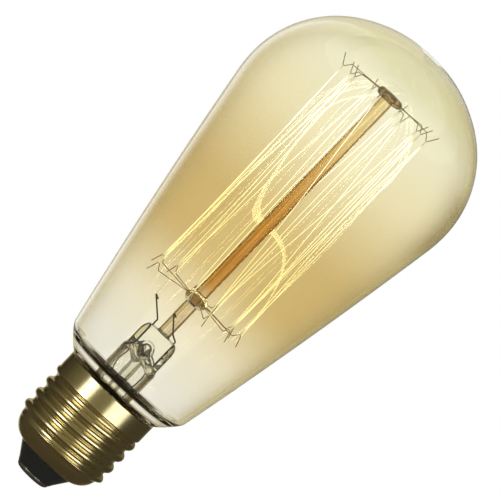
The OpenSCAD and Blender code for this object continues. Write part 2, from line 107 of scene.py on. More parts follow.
class BulbSettings(PropertyGroup):
    """Outline and tint of the blown bulb."""

    dome_radius: size("Dome radius", "Radius of the dome round the top", 34.2)
    widest_radius: size("Widest radius", "Radius of the bulb at its widest ring", 31.03)
    widest_height: size("Widest height", "Height of the widest ring", 107.8)
    hip_radius: size("Hip radius", "Radius of the curve just below the widest ring", 33)
    flank_slope: angle("Flank slope", "Slope of the flank at its top, off the axis", 9.2)
    flank_radius: size("Flank radius", "Radius of the flank's slight bulge", 1400)
    shoulder_height: size("Shoulder height", "Height of the shoulder over the cap", 34.15)
    shoulder_radius: size("Shoulder radius", "Radius of the shoulder", 3)
    bowl_slope: angle("Bowl slope", "Slope of the bowl just below the shoulder", 36)
    bowl_radius: size("Bowl radius", "Radius of the bowl between shoulder and throat", 24)
    throat_slope: angle("Throat slope", "Slope of the bowl where it enters the cap", 52)
    throat_radius: size("Throat radius", "Radius of the throat's inward turn", 4)
    neck_foot: size("Neck foot", "Height of the foot of the neck", 12.38)
    wall: size("Wall", "Thickness of the blown glass", 0.8)
    swell: size("Throat swell", "Extra thickness of the upper ring where the throat was sealed", 1)
    swell_height: size("Swell height", "Height of the upper ring of the throat", 31.15)
    swell_rise: size("Swell rise", "Height over which the upper ring thins out upwards", 1.8)
    swell_drop: size("Swell drop", "Height over which the upper ring thins out downwards", 1.2)
    fold: size("Throat fold", "Extra thickness of the lower ring of the throat", 2)
    fold_height: size("Fold height", "Height of the lower ring of the throat", 27.8)
    fold_rise: size("Fold rise", "Height over which the lower ring thins out upwards", 2.6)
    fold_drop: size("Fold drop", "Height over which the lower ring thins out downwards", 1.5)
    foot_tint: colour("Foot tint", "Colour of one wall near the cap", 0.947, 0.937, 0.87)
    waist_tint: colour("Waist tint", "Colour of one wall just below the filament", 0.965, 0.925, 0.775)
    # Round the filament the glass's own amber is deepened by painted glow of the filament
    amber_and_glow_tint: colour("Amber tint", "Colour of one wall round the filament", 0.835, 0.715, 0.442)
    crown_tint: colour("Crown tint", "Colour of one wall near the widest ring", 0.965, 0.915, 0.71)
    dome_tint: colour("Dome tint", "Colour of one wall at the dome", 0.985, 0.965, 0.815)
    top_tint: colour("Top tint", "Colour of one wall at the very top", 0.9, 0.88, 0.69)
    edge_tint: colour("Edge tint", "Colour of a wall seen edge on", 0.9, 0.84, 0.61)
    shade_tint: colour("Shade tint", "Colour of a wall edge on at the dome's shaded side", 0.46, 0.385, 0.21)
    # Painted shade of the throat's two dark rings, not a colour of the glass itself
    throat_shade: colour("Shading", "Colour of the scorched bands where the throat was sealed", 0.3, 0.25, 0.155)


class StemSettings(PropertyGroup):
    """Sizes and tints of the glass stem, the rod and its beads."""

    tube_radius: size("Tube radius", "Outer radius of the flare's tube", 5.5)
    tube_wall: size("Tube wall", "Wall of the flare and of its tube", 0.7)
    flare_height: size("Flare height", "Height at which the flare starts to open", 18)
    skirt_radius: size("Skirt radius", "Radius at which the skirt meets the neck", 10.2)
    press_foot: size("Press foot", "Height at which the tube starts to be pinched", 36.5)
    press_flat: size("Press flat", "Height from which the press is flat", 39.8)
    press_top: size("Press top", "Height of the top of the press", 45.7)
    press_width: size("Press width", "Width of the press across its flat", 10.1)
    press_thickness: size("Press thickness", "Thickness of the press", 4.4)
    cavity_top: size("Cavity top", "Height at which the pinched bore closes", 39.2)
    exhaust_radius: size("Exhaust radius", "Outer radius of the exhaust tube", 1.45)
    rod_radius: size("Rod radius", "Radius of the rod that carries the cage", 1.675)
    rod_top: size("Rod top", "Height of the rod's top", 122.2)
    clear_tint: colour("Clear tint", "Colour of the stem's glass", 0.98, 0.98, 0.93)
    # Painted shade over the press's uneven ear, for the dark that its lumps refract
    ear_shade: colour("Ear tint", "Colour of the press's uneven ear", 0.5, 0.44, 0.3)
    # The rod is clear glass; this orange-brown is painted glow of the filament
    rod_glow_tint: colour("Rod glow", "Colour of the rod between the hooks", 0.83, 0.52, 0.19)
    bead_tint: colour("Bead tint", "Colour of the two glass beads", 0.78, 0.62, 0.36)


class CageSettings(PropertyGroup):
    """Sizes and colours of the hooks, the filament and the leads."""

    radius: size("Cage radius", "Radius of the ring of hooks", 13.2)
    top_seat: size("Top seat", "Height at which the filament hangs on the top hooks", 120.4)
    lower_seat: size("Lower seat", "Height at which the filament passes the lower hooks", 58.3)
    hook_wire: size("Hook wire", "Thickness of the hooks' wire", 0.2)
    filament_wire: size("Filament wire", "Thickness of the filament", 0.16)
    strand_bow: size("Strand bow", "How far the middle of a strand stands off its straight line", 0.55)
    glow: amount("Glow", "Strength of the filament's light as it is seen", 1.65)
    mirrored_glow: amount("Mirrored glow", "Strength of the filament's light in the glass's reflections", 15)
    dim_colour: colour("Dim glow", "Colour of the filament where its supports cool it", 0.38, 0.34, 0.21)
    cool_colour: colour("Lower glow", "Colour of the filament at its lower end", 0.95, 1, 0.64)
    hot_colour: colour("Upper glow", "Colour of the filament at its upper end", 0.98, 1, 1)
    hook_colour: colour("Hook colour", "Colour of the hooks' dark wire", 0.34, 0.24, 0.1)
    lead_colour: colour("Lead colour", "Colour of the leads inside the bulb", 0.075, 0.065, 0.04)


class CapSettings(PropertyGroup):
    """Sizes and colours of the screw cap."""

    crest_radius: size("Crest radius", "Radius at the crests of the thread", 13.08)
    pitch: size("Pitch", "Pitch of the thread, seven turns to the inch", 3.629)
    thread_round: size("Thread round", "Radius of the rounded crests and roots", 1.025)
    crest_height: size("Crest height", "Height of a crest on the lamp's left side", 19.5)
    thread_foot: size("Thread foot", "Height of the foot of the thread", 9.3)
    thread_top: size("Thread top", "Height of the top of the thread", 24.4)
    run_out: size("Run out", "Height over which the thread fades at its ends", 1.2)
    collar_radius: size("Collar radius", "Radius of the smooth collar over the thread", 12.85)
    rim_height: size("Rim height", "Height of the collar's rim", 28.1)
    wall: size("Brass wall", "Thickness of the brass", 0.3)
    curl_radius: size("Curl radius", "Radius of the curl under the thread", 5)
    lip_radius: size("Lip radius", "Radius of the hole in the curl", 7.75)
    columns: IntProperty(name="Columns", description="Faces round the cap", default=160, min=48)
    brass: colour("Brass", "Colour of the polished brass", 0.83, 0.72, 0.42)
    tarnish: colour("Tarnish", "Colour of the brass where it has dulled", 0.5, 0.43, 0.19)
    insulator: colour("Insulator", "Colour of the black glass", 0.012, 0.013, 0.014)
    contact: colour("Contact", "Colour of the tinned contact", 0.62, 0.61, 0.58)


class StageSettings(PropertyGroup):
    """Camera, lights and floor."""

    camera_distance: FloatProperty(
        name="Camera distance", description="Distance from the camera to the lamp", default=1.4, unit="LENGTH"
    )
    camera_height: angle("Camera height", "Angle of the camera above the horizon", 5)
    camera_roll: angle("Camera roll", "Turn of the camera about its own line of sight", 43.8)
    view_width: size("View width", "Width of what the camera sees at the lamp", 116.55)
    aim_side: size("Aim sideways", "How far right of the axis the camera aims", 0.53)
    aim_height: size("Aim height", "Height at which the camera aims", 73.94)
    floor_depth: size("Floor depth", "Distance from the contact down to the floor", 250)
    floor_size: FloatProperty(name="Floor size", description="Width of the floor", default=2.4, unit="LENGTH")
    flag_radius: size("Flag distance", "Distance of the dark flags from the lamp", 500)


def settings():
    """The lamp's settings in the open scene."""
    return bpy.context.scene.lamp


class LampSettings(PropertyGroup):
    """Everything that can be set on the lamp."""

    bulb: PointerProperty(type=BulbSettings, name="Bulb", description="The blown bulb")
    stem: PointerProperty(type=StemSettings, name="Stem", description="The glass stem")
    cage: PointerProperty(type=CageSettings, name="Cage", description="The filament and its supports")
    cap: PointerProperty(type=CapSettings, name="Cap", description="The screw cap")
    stage: PointerProperty(type=StageSettings, name="Stage", description="Camera, lights and floor")


def eased(x):
    """Fraction that eases in and out as x goes from 0 to 1."""
    t = min(1.0, max(0.0, x))
    return t * t * (3 - 2 * t)


def blended(a, b, share):
    """Value between a and b."""
    return a + (b - a) * share


def deselect():
    """Leaves nothing selected in object mode."""
    if bpy.context.object and bpy.context.object.mode != "OBJECT":
        bpy.ops.object.mode_set(mode="OBJECT")
    bpy.ops.object.select_all(action="DESELECT")


def select_only(piece):
    """Makes a piece the active one and the only one that is selected."""
    deselect()
    piece.select_set(True)
    bpy.context.view_layer.objects.active = piece


def settle():
    """Moves the place and the turn of the selected piece into its mesh."""
    bpy.ops.object.transform_apply(location=True, rotation=True, scale=True)


def edit_all():
    """Enters edit mode with everything selected."""
    bpy.ops.object.mode_set(mode="EDIT")
    bpy.ops.mesh.select_all(action="SELECT")


def clean_up():
    """Merges doubled points, turns the faces outwards and leaves edit mode."""
    bpy.ops.mesh.remove_doubles(threshold=MERGE_DISTANCE)
    bpy.ops.mesh.normals_make_consistent(inside=False)
    bpy.ops.object.mode_set(mode="OBJECT")


def level_square(name, width, place):
    """Level square round a point."""
    deselect()
    bpy.ops.mesh.primitive_plane_add(size=width, location=place)
    piece = bpy.context.object
    piece.name = name
    return piece


def chain(name, points):
    """Object with one chain of edges, extruded from point to point."""
    piece = level_square(name, MM, points[0])
    edit_all()
    bpy.ops.mesh.merge(type="CENTER")
    for before, after in zip(points, points[1:]):
        step = Vector(after) - Vector(before)
        bpy.ops.mesh.extrude_vertices_move(TRANSFORM_OT_translate={"value": step})
    bpy.ops.object.mode_set(mode="OBJECT")
    settle()
    return piece


def spun(name, outline, steps, axis_x=0.0, turn=2 * math.pi):
    """Surface made by spinning an outline of (radius, height) points round an upright axis."""
    piece = chain(name, [(axis_x + radius, 0, height) for radius, height in outline])
    edit_all()
    bpy.ops.mesh.spin(steps=steps, angle=turn, center=(axis_x, 0, 0), axis=(0, 0, 1))
    bpy.ops.mesh.select_all(action="SELECT")
    clean_up()
    return piece


def apply_modifier(piece, kind, **values):
    """Adds a modifier to the piece, sets its values and applies it."""
    select_only(piece)
    bpy.ops.object.modifier_add(type=kind)
    modifier = piece.modifiers[-1]
    for key, value in values.items():
        setattr(modifier, key, value)
    bpy.ops.object.modifier_apply(modifier=modifier.name)


WIRE_SIDES = 8


def wire(name, points, thickness):
    """Round wire along a list of points."""
    deselect()
    bpy.ops.curve.primitive_nurbs_path_add()
    piece = bpy.context.object
    piece.name = name
    piece.data.name = name
    spline = piece.data.splines[0]
    spline.type = "POLY"
    spline.points.add(len(points) - len(spline.points))
    for spot, point in zip(spline.points, points):
        spot.co = (*point, 1)
    piece.data.bevel_depth = thickness / 2
    piece.data.bevel_resolution = (WIRE_SIDES - 4) // 2
    piece.data.use_fill_caps = True
    bpy.ops.object.convert(target="MESH")
    edit_all()
    clean_up()
    return piece


def rounded(corners, bend, steps=5):
    """A wire's corner points with each corner turned into a bend."""
    points = [Vector(corners[0])]
    for before, corner, after in zip(corners, corners[1:], corners[2:]):
        corner = Vector(corner)
        way_in = (corner - Vector(before)).normalized()
        way_out = (Vector(after) - corner).normalized()
        turn = way_in.angle(way_out)
        if turn < math.radians(1):
            points.append(corner)
            continue
        inner = (way_out - way_in * way_in.dot(way_out)).normalized()
        centre = corner - way_in * bend * math.tan(turn / 2) + inner * bend
        for k in range(steps + 1):
            part = turn * k / steps
            points.append(centre + bend * (way_in * math.sin(part) - inner * math.cos(part)))
    points.append(Vector(corners[-1]))
    return points


def finish(piece, material, slot, *nodes, smooth=40):
    """Smooths a piece, gives it its finish and puts it in place of the frame's nodes."""
    select_only(piece)
    settle()
    bpy.ops.object.shade_smooth_by_angle(angle=math.radians(smooth))
    piece.data.materials.clear()
    piece.data.materials.append(material)
    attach(piece, "root")
    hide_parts(*nodes)


def dress(material, *nodes):
    """Gives some of the frame's own nodes their finish."""
    for node in nodes:
        for slot in frame["nodes"][node].material_slots:
            slot.material = material


def add_node(tree, kind, inputs=None, **values):
    """Adds a shader node, sets its own values, then its inputs by name or number."""
    made = tree.nodes.new("ShaderNode" + kind)
    for key, value in values.items():
        setattr(made, key, value)
    for key, value in (inputs or {}).items():
        if isinstance(value, bpy.types.NodeSocket):
            tree.links.new(value, made.inputs[key])
        else:
            made.inputs[key].default_value = value
    return made


def feed(tree, node, **outputs):
    """Links values to a node's inputs by their names."""
    for key, value in outputs.items():
        tree.links.new(value, node.inputs[key.replace("_", " ")])


def new_material(name, **values):
    """Material with a Principled shader, whose plain sockets are set by their names."""
    made = bpy.data.materials.new(name)
    made.use_nodes = True
    shader = made.node_tree.nodes["Principled BSDF"]
    for key, value in values.items():
        shader.inputs[key.replace("_", " ")].default_value = value
    return made, made.node_tree, shader


def opaque(tint):
    """Colour with full alpha."""
    return (*tint, 1)


def object_place(tree):
    """Object coordinates of a point of the piece."""
    return add_node(tree, "TexCoord").outputs["Object"]


def object_axes(tree):
    """The three object coordinates, each by its letter."""
    return add_node(tree, "SeparateXYZ", {0: object_place(tree)}).outputs


def maths(tree, operation, first, second):
    """Result of an operation on two values."""
    return add_node(tree, "Math", {0: first, 1: second}, operation=operation).outputs[0]


def mixed(tree, share, first, second, blend="MIX"):
    """First colour, with a share of the second one."""
    inputs = {"Factor": share, 6: first, 7: second}
    return add_node(tree, "Mix", inputs, data_type="RGBA", blend_type=blend).outputs[2]


def rescaled(tree, value, start, end, low=0.0, high=1.0, shape="LINEAR"):
    """Value that goes from low to high as another one goes from start to end."""
    inputs = {"Value": value, "From Min": start, "From Max": end, "To Min": low, "To Max": high}
    return add_node(tree, "MapRange", inputs, interpolation_type=shape).outputs["Result"]


def soft_step(tree, value, start, end):
    """Share that rises smoothly from 0 to 1 as a value goes from start to end."""
    return rescaled(tree, value, start, end, shape="SMOOTHSTEP")


def ramp(tree, share, stops):
    """Colour that changes with a share, as a list of (share, colour) stops."""
    made = add_node(tree, "ValToRGB", {"Fac": share})
    colours = made.color_ramp.elements
    while len(colours) < len(stops):
        colours.new(0.5)
    for element, (place, tint) in zip(colours, stops):
        element.position = place
        element.color = opaque(tint)
    return made.outputs["Color"]


def bumped(tree, height, strength, distance):
    """Normal of a surface with a relief."""
    inputs = {"Strength": strength, "Distance": distance, "Height": height}
    return add_node(tree, "Bump", inputs).outputs["Normal"]


def group_tree(name, inputs, outputs):
    """Empty shader group with named sockets."""
    tree = bpy.data.node_groups.new(name, "ShaderNodeTree")
    for socket, default in inputs.items():
        made = tree.interface.new_socket(name=socket, in_out="INPUT", socket_type="NodeSocketFloat")
        made.default_value = default
    for socket, kind in outputs.items():
        tree.interface.new_socket(name=socket, in_out="OUTPUT", socket_type=kind)
    return tree, tree.nodes.new("NodeGroupInput").outputs, tree.nodes.new("NodeGroupOutput")


def use_group(tree, name, **inputs):
    """Outputs of a shader group that is placed in a material with its own values."""
    made = add_node(tree, "Group", node_tree=bpy.data.node_groups[name])
    for key, value in inputs.items():
        made.inputs[key.replace("_", " ")].default_value = value
    return made.outputs


def height_share_group():
    """Group that gives how far up between two heights a point of the piece is, from 0 to 1."""
    tree, given, result = group_tree("Height share", {"Low": 0, "High": 1}, {"Share": "NodeSocketFloat"})
    feed(tree, result, Share=rescaled(tree, object_axes(tree)["Z"], given["Low"], given["High"]))


def ripple_group():
    """Group that gives the slight waviness of hand-worked glass as a normal."""
    tree, given, result = group_tree(
        "Glass ripple", {"Scale": 60, "Strength": 0.05}, {"Normal": "NodeSocketVector"}
    )
    inputs = {"Vector": object_place(tree), "Scale": given["Scale"], "Detail": 1}
    waves = add_node(tree, "TexNoise", inputs).outputs["Fac"]
    feed(tree, result, Normal=bumped(tree, waves, given["Strength"], MM))


LINE_DRIFT = 0.2 * MM


def wear_group():
    """Group that gives smudges and fine turned lines as a mask and a height."""
    tree, given, result = group_tree(
        "Handled metal",
        {"Smudge Scale": 250, "Line Scale": 9000},
        {"Smudges": "NodeSocketFloat", "Height": "NodeSocketFloat"},
    )
    place = object_place(tree)
    inputs = {"Vector": place, "Scale": given["Smudge Scale"], "Detail": 6, "Roughness": 0.6}
    smudges = add_node(tree, "TexNoise", inputs).outputs["Fac"]
    height = add_node(tree, "SeparateXYZ", {0: place}).outputs["Z"]
    along = maths(tree, "ADD", height, maths(tree, "MULTIPLY", smudges, LINE_DRIFT))
    inputs = {"W": along, "Scale": given["Line Scale"], "Detail": 3}
    lines = add_node(tree, "TexNoise", inputs, noise_dimensions="1D").outputs["Fac"]
    feed(tree, result, Smudges=soft_step(tree, smudges, 0.38, 0.68), Height=lines)


def rippled(tree, scale, strength):
    """Normal of hand-worked glass."""
    return use_group(tree, "Glass ripple", Scale=scale, Strength=strength)["Normal"]


def edge_tint_and_shade(tree, body, tint, start, end):
    """Colour that turns to the edge's where the glass is seen edge on, from start to end of its turn. On the
    bulb's thin wall it is the glass's tint seen through more glass, with painted shade on the dome's shaded
    side; on the stem, the rod and the beads it is painted shade.
    """
    facing = add_node(tree, "LayerWeight", {"Blend": 0.5}).outputs["Facing"]
    return mixed(tree, soft_step(tree, facing, start, end), body, tint)


def height_ramp(tree, low, high, stops):
    """Colours that change with height, as a list of (share, colour) stops."""
    return ramp(tree, use_group(tree, "Height share", Low=low, High=high)["Share"], stops)


TINTED_HEIGHTS = (34 * MM, 134 * MM)
# The dome's shaded side: across, up its foot and down its top
SHADED_SIDE = (-5 * MM, 18 * MM)
SHADED_FOOT = (94 * MM, 106 * MM)
SHADED_TOP = (121 * MM, 113 * MM)
# Painted shade in two rings of the throat, where the dark cap and the brass rim show through the glass; the
# rings fade round the throat's sides
THROAT_SHADE_HEIGHTS = (28 * MM, 34 * MM)
THROAT_SHADE_FRONT = (-2 * MM, -12 * MM)
THROAT_SHADE_RINGS = ((0.0, 1), (0.36, 1), (0.42, 0), (0.57, 0), (0.62, 0.8), (0.8, 0.7), (0.88, 0))


def bulb_glass():
    """Blown amber glass, deeper amber round the filament where painted glow of the filament is added to its
    own tint, paler at the dome and clear near the cap.
    """
    bulb = settings().bulb
    made, tree, shader = new_material(
        "amber blown glass", Roughness=0.0, IOR=1.45, Transmission_Weight=1.0
    )
    tints = (
        (0.0, bulb.foot_tint),
        (0.158, bulb.waist_tint),
        (0.326, bulb.amber_and_glow_tint),
        (0.475, bulb.amber_and_glow_tint),
        (0.704, bulb.crown_tint),
        (0.88, bulb.dome_tint),
        (0.95, bulb.top_tint),
    )
    axes = object_axes(tree)
    foot = soft_step(tree, axes["Z"], *SHADED_FOOT)
    belt = maths(tree, "MULTIPLY", foot, soft_step(tree, axes["Z"], *SHADED_TOP))
    shaded = maths(tree, "MULTIPLY", soft_step(tree, axes["X"], *SHADED_SIDE), belt)
    edge = mixed(tree, shaded, opaque(bulb.edge_tint), opaque(bulb.shade_tint))
    body = edge_tint_and_shade(tree, height_ramp(tree, *TINTED_HEIGHTS, tints), edge, 0.3, 0.95)
    # Painted shade in the throat's two rings, on its front side only
    rings = height_ramp(tree, *THROAT_SHADE_HEIGHTS, [(place, (share,) * 3) for place, share in THROAT_SHADE_RINGS])
    shadowed = maths(tree, "MULTIPLY", rings, soft_step(tree, axes["Y"], *THROAT_SHADE_FRONT))
    whole = mixed(tree, shadowed, body, opaque(bulb.throat_shade))
    feed(tree, shader, Base_Color=whole, Normal=rippled(tree, 30, 0.012))
    return made


# Where the painted shade of the press's ear lies, across and up
EAR_SIDE = (2.6 * MM, 3.1 * MM)
EAR_HEIGHTS = (40.2 * MM, 41.2 * MM)
# Painted shade at the stem's edges, for the dark surroundings its solid glass refracts, near black where the
# press is flat
STEM_PAINTED_EDGES = ((0.0, (0.16, 0.13, 0.08)), (0.6, (0.01, 0.008, 0.003)))


def stem_glass():
    """Clear drawn glass with painted shade: dark edges, and the browner ear of the press."""
    stem = settings().stem
    made, tree, shader = new_material("clear stem glass", Roughness=0.0, IOR=1.5, Transmission_Weight=1.0)
    axes = object_axes(tree)
    side = soft_step(tree, axes["X"], *EAR_SIDE)
    ear = maths(tree, "MULTIPLY", side, soft_step(tree, axes["Z"], *EAR_HEIGHTS))
    body = mixed(tree, ear, opaque(stem.clear_tint), opaque(stem.ear_shade))
    edge = height_ramp(tree, stem.press_foot, stem.press_flat, STEM_PAINTED_EDGES)
    edge_shaded = edge_tint_and_shade(tree, body, edge, 0.2, 0.5)
    feed(tree, shader, Base_Color=edge_shaded, Normal=rippled(tree, 260, 0.2))
    return made


# Painted glow of the filament on the clear rod: pale at its foot, orange-brown between the rings of hooks,
# amber at its top
ROD_FOOT_GLOW = (0.95, 0.9, 0.78)
ROD_TOP_GLOW = (0.93, 0.8, 0.52)
ROD_STREAK_TINT = (0.72, 0.62, 0.5)
# Painted shade at the rod's edges, darker below the lower hooks and paler than the painted glow above them
ROD_PAINTED_EDGES = ((0.0, (0.6, 0.5, 0.33)), (1.0, (1, 0.78, 0.45)))
STREAK_STRETCH = (1, 1, 0.015)


def rod_glass():
    """Clear rod glass with painted glow of the filament, orange-brown between the rings of hooks and paler at
    its ends.
    """
    stem = settings().stem
    cage = settings().cage
    made, tree, shader = new_material("rod glass with painted glow", Roughness=0.05, IOR=1.5, Transmission_Weight=1.0)
    tints = (
        (0.0, ROD_FOOT_GLOW),
        (0.06, stem.rod_glow_tint),
        (0.45, stem.rod_glow_tint),
        (0.9, ROD_TOP_GLOW),
        (1.0, ROD_TOP_GLOW),
    )
    body = height_ramp(tree, cage.lower_seat, cage.top_seat, tints)
    edge = height_ramp(tree, cage.lower_seat - 4 * MM, cage.lower_seat + 2 * MM, ROD_PAINTED_EDGES)
    edge_shaded = edge_tint_and_shade(tree, body, edge, 0.22, 0.6)
    drawn = add_node(tree, "VectorMath", {0: object_place(tree), 1: STREAK_STRETCH}, operation="MULTIPLY")
    streaks = add_node(tree, "TexNoise", {"Vector": drawn.outputs[0], "Scale": 2200, "Detail": 2})
    lines = soft_step(tree, streaks.outputs["Fac"], 0.48, 0.62)
    whole = mixed(tree, lines, edge_shaded, opaque(ROD_STREAK_TINT), "MULTIPLY")
    feed(tree, shader, Base_Color=whole, Normal=rippled(tree, 300, 0.15))
    return made


# Painted shade at the beads' edges, where the solid glass refracts the dark surroundings
BEAD_PAINTED_EDGE = (0.26, 0.17, 0.07)


def bead_glass():
    """Amber glass of the two beads that hold the hooks, with painted shade at their edges."""
    made, tree, shader = new_material(
        "amber bead glass", Roughness=0.16, IOR=1.5, Transmission_Weight=0.94, Specular_IOR_Level=0.1
    )
    body = opaque(settings().stem.bead_tint)
    edge_shaded = edge_tint_and_shade(tree, body, opaque(BEAD_PAINTED_EDGE), 0.15, 0.6)
    feed(tree, shader, Base_Color=edge_shaded, Normal=rippled(tree, 500, 0.4))
    return made


FINE_RELIEF = 0.1 * MM
DULLED_ROUGHNESS = 1.2


def handled_metal(name, clean, dull, roughness, smudge_scale=250, line_scale=9000, relief=0.02):
    """Metal whose colour and gloss change in smudges, with fine turned lines."""
    made, tree, shader = new_material(name, Metallic=1.0)
    wear = use_group(tree, "Handled metal", Smudge_Scale=smudge_scale, Line_Scale=line_scale)
    smudges = wear["Smudges"]
    feed(
        tree,
        shader,
        Base_Color=mixed(tree, smudges, opaque(clean), opaque(dull)),
        Roughness=rescaled(tree, smudges, 0, 1, roughness, roughness * DULLED_ROUGHNESS),
        Normal=bumped(tree, wear["Height"], relief, FINE_RELIEF),
    )
    return made


def cap_brass():
    """Polished rolled brass with dulled patches."""
    cap = settings().cap
    dull = blended(Vector(cap.brass), Vector(cap.tarnish), 0.35)
    return handled_metal("rolled brass", cap.brass, dull, 0.2)


SPECK_TINT = (0.09, 0.09, 0.08)


def black_glass():
    """Opaque black moulded glass, satin, with a few pale specks."""
    made, tree, shader = new_material(
        "black moulded glass", Roughness=0.32, Coat_Weight=0.3, Coat_Roughness=0.12
    )
    grains = add_node(tree, "TexVoronoi", {"Vector": object_place(tree), "Scale": 1400})
    specks = rescaled(tree, grains.outputs["Distance"], 0.06, 0.1, 1, 0)
    tint = mixed(tree, specks, opaque(settings().cap.insulator), opaque(SPECK_TINT))
    feed(tree, shader, Base_Color=tint, Normal=rippled(tree, 900, 0.12))
    return made


CEMENT_TINTS = ((0.0, (0.3, 0.19, 0.1)), (1.0, (0.5, 0.35, 0.2)))


def basing_cement():
    """Dark grainy cement."""
    made, tree, shader = new_material("basing cement", Roughness=0.9)
    inputs = {"Vector": object_place(tree), "Scale": 2500, "Detail": 5}
    grain = add_node(tree, "TexNoise", inputs).outputs["Fac"]
    tint = ramp(tree, grain, CEMENT_TINTS)
    feed(tree, shader, Base_Color=tint, Normal=bumped(tree, grain, 0.5, FINE_RELIEF))
    return made


# Reflections of the filament from farther off than this are those in the bulb
MIRROR_DISTANCE = 12 * MM
WIRE_TINT = (0.04, 0.035, 0.03)


def filament_glow():
    """Glowing wire, paler towards the top, at its full strength only in the bulb's own reflections."""
    cage = settings().cage
    made, tree, shader = new_material("glowing filament", Roughness=0.6, Base_Color=opaque(WIRE_TINT))
    tints = (
        (0.0, cage.dim_colour),
        (0.1, blended(Vector(cage.dim_colour), Vector(cage.cool_colour), 0.25)),
        (0.13, cage.cool_colour),
        (0.4, cage.cool_colour),
        (0.8, cage.hot_colour),
        (0.96, cage.hot_colour),
        (0.985, cage.dim_colour),
    )
    path = add_node(tree, "LightPath").outputs
    far = maths(tree, "GREATER_THAN", path["Ray Length"], MIRROR_DISTANCE)
    mirrored = maths(tree, "MULTIPLY", path["Is Reflection Ray"], far)
    strength = rescaled(tree, mirrored, 0, 1, cage.glow, cage.mirrored_glow)
    glow = height_ramp(tree, LEFT_CLAMP.z, cage.top_seat, tints)
    feed(tree, shader, Emission_Color=glow, Emission_Strength=strength)
    made.cycles.emission_sampling = "NONE"
    return made


ARC_STEP = math.radians(1.5)
BAND_HEIGHT = 2 * MM
BULB_STEPS = 240


def outward(slope):
    """Unit vector, as (radius, height), that points out of the glass where its slope is this."""
    return Vector((math.cos(slope), -math.sin(slope)))


def bulb_outline(bulb):
    """Points down the outside of the glass to the foot of the neck, and back up its inside."""
    dome = Vector((0, TOP_Z - bulb.dome_radius))
    rise = bulb.widest_height - dome.y
    spread = bulb.dome_radius - bulb.widest_radius
    crown_radius = (bulb.dome_radius**2 - bulb.widest_radius**2 - rise**2) / (2 * spread)
    crown = Vector((bulb.widest_radius - crown_radius, bulb.widest_height))
    arcs = [
        (dome, bulb.dome_radius, -math.atan2(rise, crown.x)),
        (crown, crown_radius, 0),
    ]
    turns = (
        (bulb.hip_radius, bulb.flank_slope),
        (bulb.flank_radius, None),
        (bulb.shoulder_radius, bulb.bowl_slope),
        (bulb.bowl_radius, bulb.throat_slope),
        (-bulb.throat_radius, 0),
    )
    point = Vector((bulb.widest_radius, bulb.widest_height))
    slope = 0
    for radius, end in turns:
        centre = point - radius * outward(slope)
        if end is None:
            end = math.asin((centre.y - bulb.shoulder_height) / radius)
        arcs.append((centre, radius, end))
        point = centre + radius * outward(end)
        slope = end
    outside = [Vector((0, TOP_Z))]
    inside = [Vector((0, TOP_Z - bulb.wall))]
    slope = -math.pi / 2
    for centre, radius, end in arcs:
        turn = end - slope
        steps = math.ceil(max(abs(turn) / ARC_STEP, abs(radius * turn) / BAND_HEIGHT))
        for k in range(1, steps + 1):
            way_out = outward(slope + turn * k / steps)
            outside.append(centre + radius * way_out)
            inside.append(centre + (radius - bulb.wall) * way_out)
        slope = end
    outside.append(Vector((point.x, bulb.neck_foot)))
    inside.append(Vector((point.x - bulb.wall, bulb.neck_foot)))
    return outside + inside[::-1]


def ring_share(away, rise, drop):
    """Share of a ring's extra thickness at a height above or below its middle."""
    return eased(1 - away / rise) if away > 0 else eased(1 + away / drop)


def swell_throat(piece, bulb):
    """Thickens the wall inwards where the throat was sealed, mostly on the lamp's front side."""
    ways = [vertex.normal.copy() for vertex in piece.data.vertices]
    for vertex, way in zip(piece.data.vertices, ways):
        x, y, z = vertex.co
        extra = bulb.swell * ring_share(z - bulb.swell_height, bulb.swell_rise, bulb.swell_drop)
        extra += bulb.fold * ring_share(z - bulb.fold_height, bulb.fold_rise, bulb.fold_drop)
        if extra > 0 and x * way.x + y * way.y < 0:
            front = blended(0.1, 1, eased(0.5 - 0.8 * y / math.hypot(x, y)))
            vertex.co = vertex.co + way * extra * front


class LAMP_OT_bulb(Operator):
    """Blow the teardrop bulb: spin both sides of its wall and swell the sealed throat"""

    bl_idname = "lamp.bulb"
    bl_label = "Glass Bulb"

    def execute(self, context):
        bulb = settings().bulb
        piece = spun("teardrop_bulb", bulb_outline(bulb), BULB_STEPS)
        swell_throat(piece, bulb)
        finish(piece, bulb_glass(), "amber_glass", "glass_envelope")
        lit_collection("lit_bulb").objects.link(piece)
        return {"FINISHED"}


def arc(centre, radius, start, end, steps):
    """Points on an arc, as (radius, height), between two angles from the horizontal."""
    return [
        (
            centre[0] + radius * math.cos(blended(start, end, k / steps)),
            centre[1] + radius * math.sin(blended(start, end, k / steps)),
        )
        for k in range(steps + 1)
    ]


def rise_points(radius, low, high, step=0.5 * MM):
    """Points up a straight wall, without its ends."""
    count = max(1, round((high - low) / step))
    return [(radius, blended(low, high, k / count)) for k in range(1, count)]


PRESS_ROW = 0.2 * MM
PRESS_LEAD_IN = 1 * MM
CORNER_WIDTH = 1.5 * MM
CORNER_DROP = 2.8 * MM
CORNER_FULLNESS = 0.85
ARC_ROWS = 16


